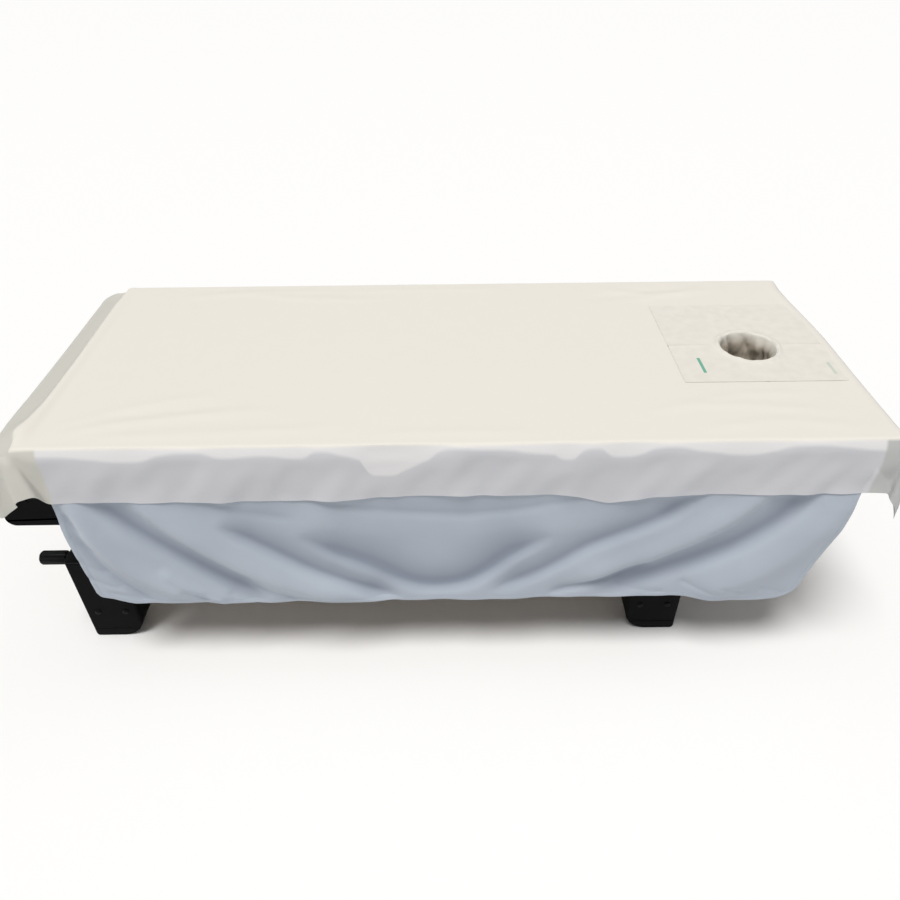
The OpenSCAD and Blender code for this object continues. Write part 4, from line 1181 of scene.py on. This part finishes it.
def tuck(piece, rim_reach, steps):
    """Carries the sheet's inner rim down into the hole; steps are (depth, radius, crumple)."""
    mesh = bmesh.new()
    mesh.from_mesh(piece.data)
    loops = [e for e in mesh.edges if e.is_boundary
             and max(math.hypot(v.co.x - hole_x, v.co.y - hole_y) for v in e.verts) < rim_reach]
    top_z = sum(v.co.z for e in loops for v in e.verts) / (2 * len(loops))
    for depth, radius, crumple in steps:
        grown = bmesh.ops.extrude_edge_only(mesh, edges=loops)["geom"]
        loops = [g for g in grown if isinstance(g, bmesh.types.BMEdge)]
        for v in (g for g in grown if isinstance(g, bmesh.types.BMVert)):
            a = math.atan2(v.co.y - hole_y, v.co.x - hole_x)
            spot = Vector((math.cos(a) * 2.3, math.sin(a) * 2.3, depth * 28))
            rumple = 0.5 + 0.6 * noise.noise(spot) + 0.4 * noise.noise(spot * 2.7)
            pleat = abs(math.sin(7 * a + 2.2 * math.sin(2 * a + 0.7) + depth * 26))
            r = radius - crumple * max(rumple * 0.7 + pleat * 0.5, 0)
            a += crumple * 3.0 * noise.noise(spot * 1.7)
            v.co = (hole_x + r * math.cos(a), hole_y + r * math.sin(a), top_z - depth)
    mesh.to_mesh(piece.data)
    mesh.free()


tuck(film, hole_r + 0.004, [(0.001, hole_r - 0.0012, 0), (0.02, hole_r - 0.0015, 0), (0.045, hole_r - 0.0015, 0),
                            (0.070, hole_r - 0.0018, 0)])
film_finer = film.modifiers.new("finer", "SUBSURF")
film_finer.levels = film_finer.render_levels = 1
settle(film)
film.data.shade_smooth()
film_stuff = material("translucent_film", (0.84, 0.81, 0.75), 0.6, specular=0.2)
film_shader = film_stuff.node_tree.nodes["Principled BSDF"]
film_shader.inputs["Alpha"].default_value = 0.94
film_shader.inputs["Sheen Weight"].default_value = 0.1
mottle(film_stuff, 0.52, 0.68, 25.0)
grain_bump(film_stuff, 700.0, 0.0002, strength=0.3)
# The film's colour is set by place. Its own cream stays only on the top, while the drops, the leaning bands and the
# ends carry painted shade and painted light.
film_place = node(film_stuff, "ShaderNodeTexCoord")
film_split = node(film_stuff, "ShaderNodeSeparateXYZ")
film_face = node(film_stuff, "ShaderNodeMath")
film_face.operation = "SIGN"
film_middle = node(film_stuff, "ShaderNodeMath")
film_middle.operation = "SUBTRACT"
film_middle.inputs[1].default_value = 0.0615
film_mirror = node(film_stuff, "ShaderNodeMath")
film_mirror.operation = "MULTIPLY"
film_span = node(film_stuff, "ShaderNodeMapRange", From_Min=1.1, From_Max=-1.1)
lean_curve = node(film_stuff, "ShaderNodeFloatCurve")
lean_points = lean_curve.mapping.curves[0].points
lean_base, lean_scale = 0.58, 0.12
for i, (x, z) in enumerate(lean_foot):
    spot = ((x + 1.1) / 2.2, (z - lean_base) / lean_scale)
    if i in (0, len(lean_foot) - 1):
        lean_points[min(i, 1)].location = spot
    else:
        lean_points.new(*spot)
lean_curve.mapping.update()
lean_height = node(film_stuff, "ShaderNodeMapRange", To_Min=lean_base, To_Max=lean_base + lean_scale)
above_lean = node(film_stuff, "ShaderNodeMath")
above_lean.operation = "SUBTRACT"
band = node(film_stuff, "ShaderNodeMapRange", From_Min=-0.005, From_Max=0.003)
top_mask = node(film_stuff, "ShaderNodeMapRange", From_Min=0.672, From_Max=0.6775)
end_away = node(film_stuff, "ShaderNodeMath")
end_away.operation = "ABSOLUTE"
end_mask = node(film_stuff, "ShaderNodeMapRange", From_Min=0.893, From_Max=0.900)
drop_painted_shade = node(film_stuff, "ShaderNodeMix")
band_painted_light = node(film_stuff, "ShaderNodeMix")
top_colour = node(film_stuff, "ShaderNodeMix")
end_painted_shade = node(film_stuff, "ShaderNodeMix")
end_shade_tones = node(film_stuff, "ShaderNodeMix")
all_mixes = (drop_painted_shade, band_painted_light, top_colour, end_painted_shade, end_shade_tones)
for mix in all_mixes:
    mix.data_type = "RGBA"
mixes = {n: [i for i in n.inputs if i.enabled] for n in all_mixes}
# Painted shade on the drops: a bluish grey for their shade, with the blue sheet showing through them.
mixes[drop_painted_shade][1].default_value = (0.60, 0.605, 0.64, 1)
mixes[drop_painted_shade][2].default_value = (0.65, 0.65, 0.675, 1)
# Painted shade at the film's ends: a warm grey at the foot, where the film slopes over the step and the black vinyl
# shows through, and a darker grey at the head end for its shade.
mixes[end_shade_tones][1].default_value = (0.62, 0.61, 0.555, 1)
mixes[end_shade_tones][2].default_value = (0.50, 0.505, 0.495, 1)
which_end = node(film_stuff, "ShaderNodeMapRange", From_Min=-0.5, From_Max=0.5)
# Painted light on the band where each drop leans out over the topper's edge: a lighter grey.
mixes[band_painted_light][2].default_value = (0.78, 0.77, 0.775, 1)
mixes[top_colour][2].default_value = (0.845, 0.812, 0.745, 1)
drop_cloud = node(film_stuff, "ShaderNodeTexNoise", Scale=9.0, Detail=3.0)
links = film_stuff.node_tree.links
link(film_stuff, film_place, "Object", film_split, "Vector")
link(film_stuff, film_place, "Object", drop_cloud, "Vector")
link(film_stuff, film_split, "Y", film_face, 0)
link(film_stuff, film_split, "X", film_mirror, 0)
link(film_stuff, film_face, 0, film_mirror, 1)
link(film_stuff, film_mirror, 0, film_span, "Value")
link(film_stuff, film_span, "Result", lean_curve, "Value")
link(film_stuff, lean_curve, "Value", lean_height, "Value")
link(film_stuff, film_split, "Z", above_lean, 0)
link(film_stuff, lean_height, "Result", above_lean, 1)
link(film_stuff, above_lean, 0, band, "Value")
link(film_stuff, film_split, "Z", top_mask, "Value")
link(film_stuff, film_split, "X", film_middle, 0)
link(film_stuff, film_middle, 0, end_away, 0)
link(film_stuff, end_away, 0, end_mask, "Value")
link(film_stuff, film_split, "X", which_end, "Value")
links.new(next(o for o in end_shade_tones.outputs if o.enabled), mixes[end_painted_shade][2])
for mix, factor, out in ((drop_painted_shade, drop_cloud, "Fac"), (end_painted_shade, end_mask, "Result"), (end_shade_tones, which_end, "Result"),
                         (band_painted_light, band, "Result"), (top_colour, top_mask, "Result")):
    links.new(factor.outputs[out], mixes[mix][0])
for first, second in ((drop_painted_shade, band_painted_light), (band_painted_light, end_painted_shade), (end_painted_shade, top_colour)):
    links.new(next(o for o in first.outputs if o.enabled), mixes[second][1])
links.new(next(o for o in top_colour.outputs if o.enabled), film_shader.inputs["Base Color"])
film.data.materials.clear()
film.data.materials.append(film_stuff)
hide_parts("disposable_sheet")
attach(film, "table")

# ---------------------------------------------------------------------------------------------
# The face hole cover: a square of creased non-woven, once folded in four, its middle pushed
# down into the breathing hole so that it crumples against the wall and stands as a pale lip.

cover_lo, cover_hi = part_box("face_hole_cover")
cover_cell = 0.0062
cover_points, cover_faces = holed_grid(
    grid_lines(cover_lo.x, cover_hi.x, hole_x, cover_cell), grid_lines(cover_lo.y, cover_hi.y, hole_y, cover_cell),
    10 * cover_cell, 17 * cover_cell, hole_r - 0.006)
hole_cover, cover_flat = holed_sheet("hole_cover_square", cover_points, cover_faces, film_top + 0.0008)
cover_co = np.array([v.co[:] for v in hole_cover.data.vertices])
cx, cy = cover_flat[:, 0], cover_flat[:, 1]
from_hole = np.hypot(cx - hole_x, cy - hole_y)
crease = 0.0028 * np.exp(-((cy - 0.006) / 0.0035) ** 2) - 0.0006 * np.exp(-((cy + 0.004) / 0.006) ** 2)
crease += 0.0008 * np.exp(-((cx - (cover_lo.x + cover_hi.x) / 2) / 0.004) ** 2)
crease *= smooth_step((from_hole - 0.085) / 0.03)
waves = np.array([noise.noise(Vector((x * 14, y * 22, 0.3))) for x, y in zip(cx, cy)])
edge_gap = np.minimum.reduce([cx - cover_lo.x, cover_hi.x - cx, cy - cover_lo.y, cover_hi.y - cy])
lifted_edge = 0.0003 * np.exp(-edge_gap / 0.006) * (1 + waves)
angle = np.arctan2(cy - hole_y, cx - hole_x)
lip = 0.0062 * np.exp(-((from_hole - hole_r + 0.001) / 0.0048) ** 2)
lip *= 1 + 0.25 * np.sin(angle * 5 + 0.6) + 0.2 * np.sin(angle * 11) + 0.12 * np.sin(angle * 23 + 1)
pucker = 0.0009 * np.sin(angle * 15 + 2 * np.sin(angle * 3)) * np.exp(-((from_hole - hole_r - 0.010) / 0.012) ** 2)
cover_co[:, 2] += np.abs(crease) + lifted_edge + lip + np.abs(pucker) + 0.0005 * (waves + 0.6) * smooth_step(edge_gap / 0.03)
hole_cover.data.vertices.foreach_set("co", cover_co.ravel())
tuck(hole_cover, hole_r + 0.004, [
    (0.0004, hole_r - 0.0072, 0.0), (0.004, hole_r - 0.0078, 0.0015), (0.010, hole_r - 0.0070, 0.006),
    (0.018, hole_r - 0.0060, 0.012), (0.027, hole_r - 0.0050, 0.018), (0.037, hole_r - 0.0045, 0.020),
    (0.048, hole_r - 0.0045, 0.022), (0.059, hole_r - 0.0045, 0.020), (0.070, hole_r - 0.0045, 0.022),
    (0.081, hole_r - 0.0050, 0.024), (0.092, hole_r - 0.0055, 0.022)])
cover_finer = hole_cover.modifiers.new("finer", "SUBSURF")
cover_finer.levels = cover_finer.render_levels = 1
settle(hole_cover)
hole_cover.data.shade_smooth()
cover_stuff = material("creased_non_woven", (0.83, 0.80, 0.735), 0.7, specular=0.2)
cover_cloud = mottle(cover_stuff, 0.6, 0.8, 40.0)
blend_colour(cover_stuff, (0.745, 0.715, 0.655), (0.775, 0.745, 0.685), cover_cloud)
grain_bump(cover_stuff, 900.0, 0.0003, strength=0.4)

# A plain green bar is printed near the left edge, and a fainter one at the right.
mark_place = node(cover_stuff, "ShaderNodeTexCoord")
mark_mixes = []
for centre, half, strength in (((0.648, -0.086), (0.0035, 0.034), 0.8), ((0.955, -0.105), (0.0035, 0.026), 0.25)):
    shift = node(cover_stuff, "ShaderNodeVectorMath")
    shift.operation = "SUBTRACT"
    shift.inputs[1].default_value = (*centre, 0)
    fold_over = node(cover_stuff, "ShaderNodeVectorMath")
    fold_over.operation = "ABSOLUTE"
    parts = node(cover_stuff, "ShaderNodeSeparateXYZ")
    in_x = node(cover_stuff, "ShaderNodeMapRange", From_Min=half[0] + 0.0006, From_Max=half[0])
    in_y = node(cover_stuff, "ShaderNodeMapRange", From_Min=half[1] + 0.0006, From_Max=half[1])
    both = node(cover_stuff, "ShaderNodeMath")
    both.operation = "MULTIPLY"
    faded = node(cover_stuff, "ShaderNodeMath")
    faded.operation = "MULTIPLY"
    faded.inputs[1].default_value = strength
    link(cover_stuff, mark_place, "Object", shift, 0)
    link(cover_stuff, shift, 0, fold_over, 0)
    link(cover_stuff, fold_over, 0, parts, "Vector")
    link(cover_stuff, parts, "X", in_x, "Value")
    link(cover_stuff, parts, "Y", in_y, "Value")
    link(cover_stuff, in_x, "Result", both, 0)
    link(cover_stuff, in_y, "Result", both, 1)
    link(cover_stuff, both, 0, faded, 0)
    mark_mixes.append(faded)
printed = node(cover_stuff, "ShaderNodeMath")
printed.operation = "ADD"
link(cover_stuff, mark_mixes[0], 0, printed, 0)
link(cover_stuff, mark_mixes[1], 0, printed, 1)
ink = node(cover_stuff, "ShaderNodeMix")
ink.data_type = "RGBA"
ink_in = [i for i in ink.inputs if i.enabled]
cover_shader = cover_stuff.node_tree.nodes["Principled BSDF"]
cover_stuff.node_tree.links.new(printed.outputs[0], ink_in[0])
cover_stuff.node_tree.links.new(cover_shader.inputs["Base Color"].links[0].from_socket, ink_in[1])
ink_in[2].default_value = (0.03, 0.36, 0.24, 1)

# Painted shade: down in the hole, where the cloth lies against black foam, its colour is darkened to a brown grey for
# the shade in the hole.
hole_painted_shade = node(cover_stuff, "ShaderNodeMix")
hole_painted_shade.data_type = "RGBA"
hole_painted_shade_in = [i for i in hole_painted_shade.inputs if i.enabled]
hole_painted_shade_in[2].default_value = (0.40, 0.355, 0.29, 1)
mark_split = node(cover_stuff, "ShaderNodeSeparateXYZ")
hole_shade_depth_mask = node(cover_stuff, "ShaderNodeMapRange", From_Min=0.679, From_Max=0.655)
link(cover_stuff, mark_place, "Object", mark_split, "Vector")
link(cover_stuff, mark_split, "Z", hole_shade_depth_mask, "Value")
cover_stuff.node_tree.links.new(hole_shade_depth_mask.outputs["Result"], hole_painted_shade_in[0])
cover_stuff.node_tree.links.new(next(o for o in ink.outputs if o.enabled), hole_painted_shade_in[1])
cover_stuff.node_tree.links.new(next(o for o in hole_painted_shade.outputs if o.enabled), cover_shader.inputs["Base Color"])
hole_cover.data.materials.clear()
hole_cover.data.materials.append(cover_stuff)
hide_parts("face_hole_cover")
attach(hole_cover, "table")

# ---------------------------------------------------------------------------------------------
# The posts: square steel tube welded to a flange, powder coated black, with a black nylon glide
# pressed on each lower end.

for end in ("foot", "head"):
    for side in ("front", "back"):
        eased(f"{end}_{side}_post", 0.002, powder_black)
eased("post_glides", 0.0008, satin_plastic)

# ---------------------------------------------------------------------------------------------
# The boxed lower legs: panels glued round a block, sprayed like the rails, with moulded guide
# blocks let into their tops, a crossbar bolted between them, and thick rubber soles.

sole_rubber = material("black_rubber", (0.004, 0.004, 0.004), 0.8, specular=0.12)
rubber_cloud = mottle(sole_rubber, 0.7, 0.9, 45.0)
blend_colour(sole_rubber, (0.003, 0.003, 0.003), (0.006, 0.006, 0.006), rubber_cloud)
grain_bump(sole_rubber, 500.0, 0.0003, strength=0.4)
for end in ("foot", "head"):
    for side in ("front", "back"):
        eased(f"{end}_{side}_leg", 0.003, lacquer_upright, smallest=0.04)
    eased(f"{end}_leg_guides", 0.001, satin_plastic)
    eased(f"{end}_crossbar", 0.003, lacquer_across)
    eased(f"{end}_end_soles", 0.002, sole_rubber)

# ---------------------------------------------------------------------------------------------
# The clamp knobs: a fluted black moulding pressed onto a zinc screw, whose round pad bears on
# the post.

for end in ("foot", "head"):
    for side in ("front", "back"):
        eased(f"{end}_{side}_knob_grip", 0.0012, satin_plastic, smallest=0.015)
        eased(f"{end}_{side}_knob_screw", 0.0005, zinc, smallest=0.008)
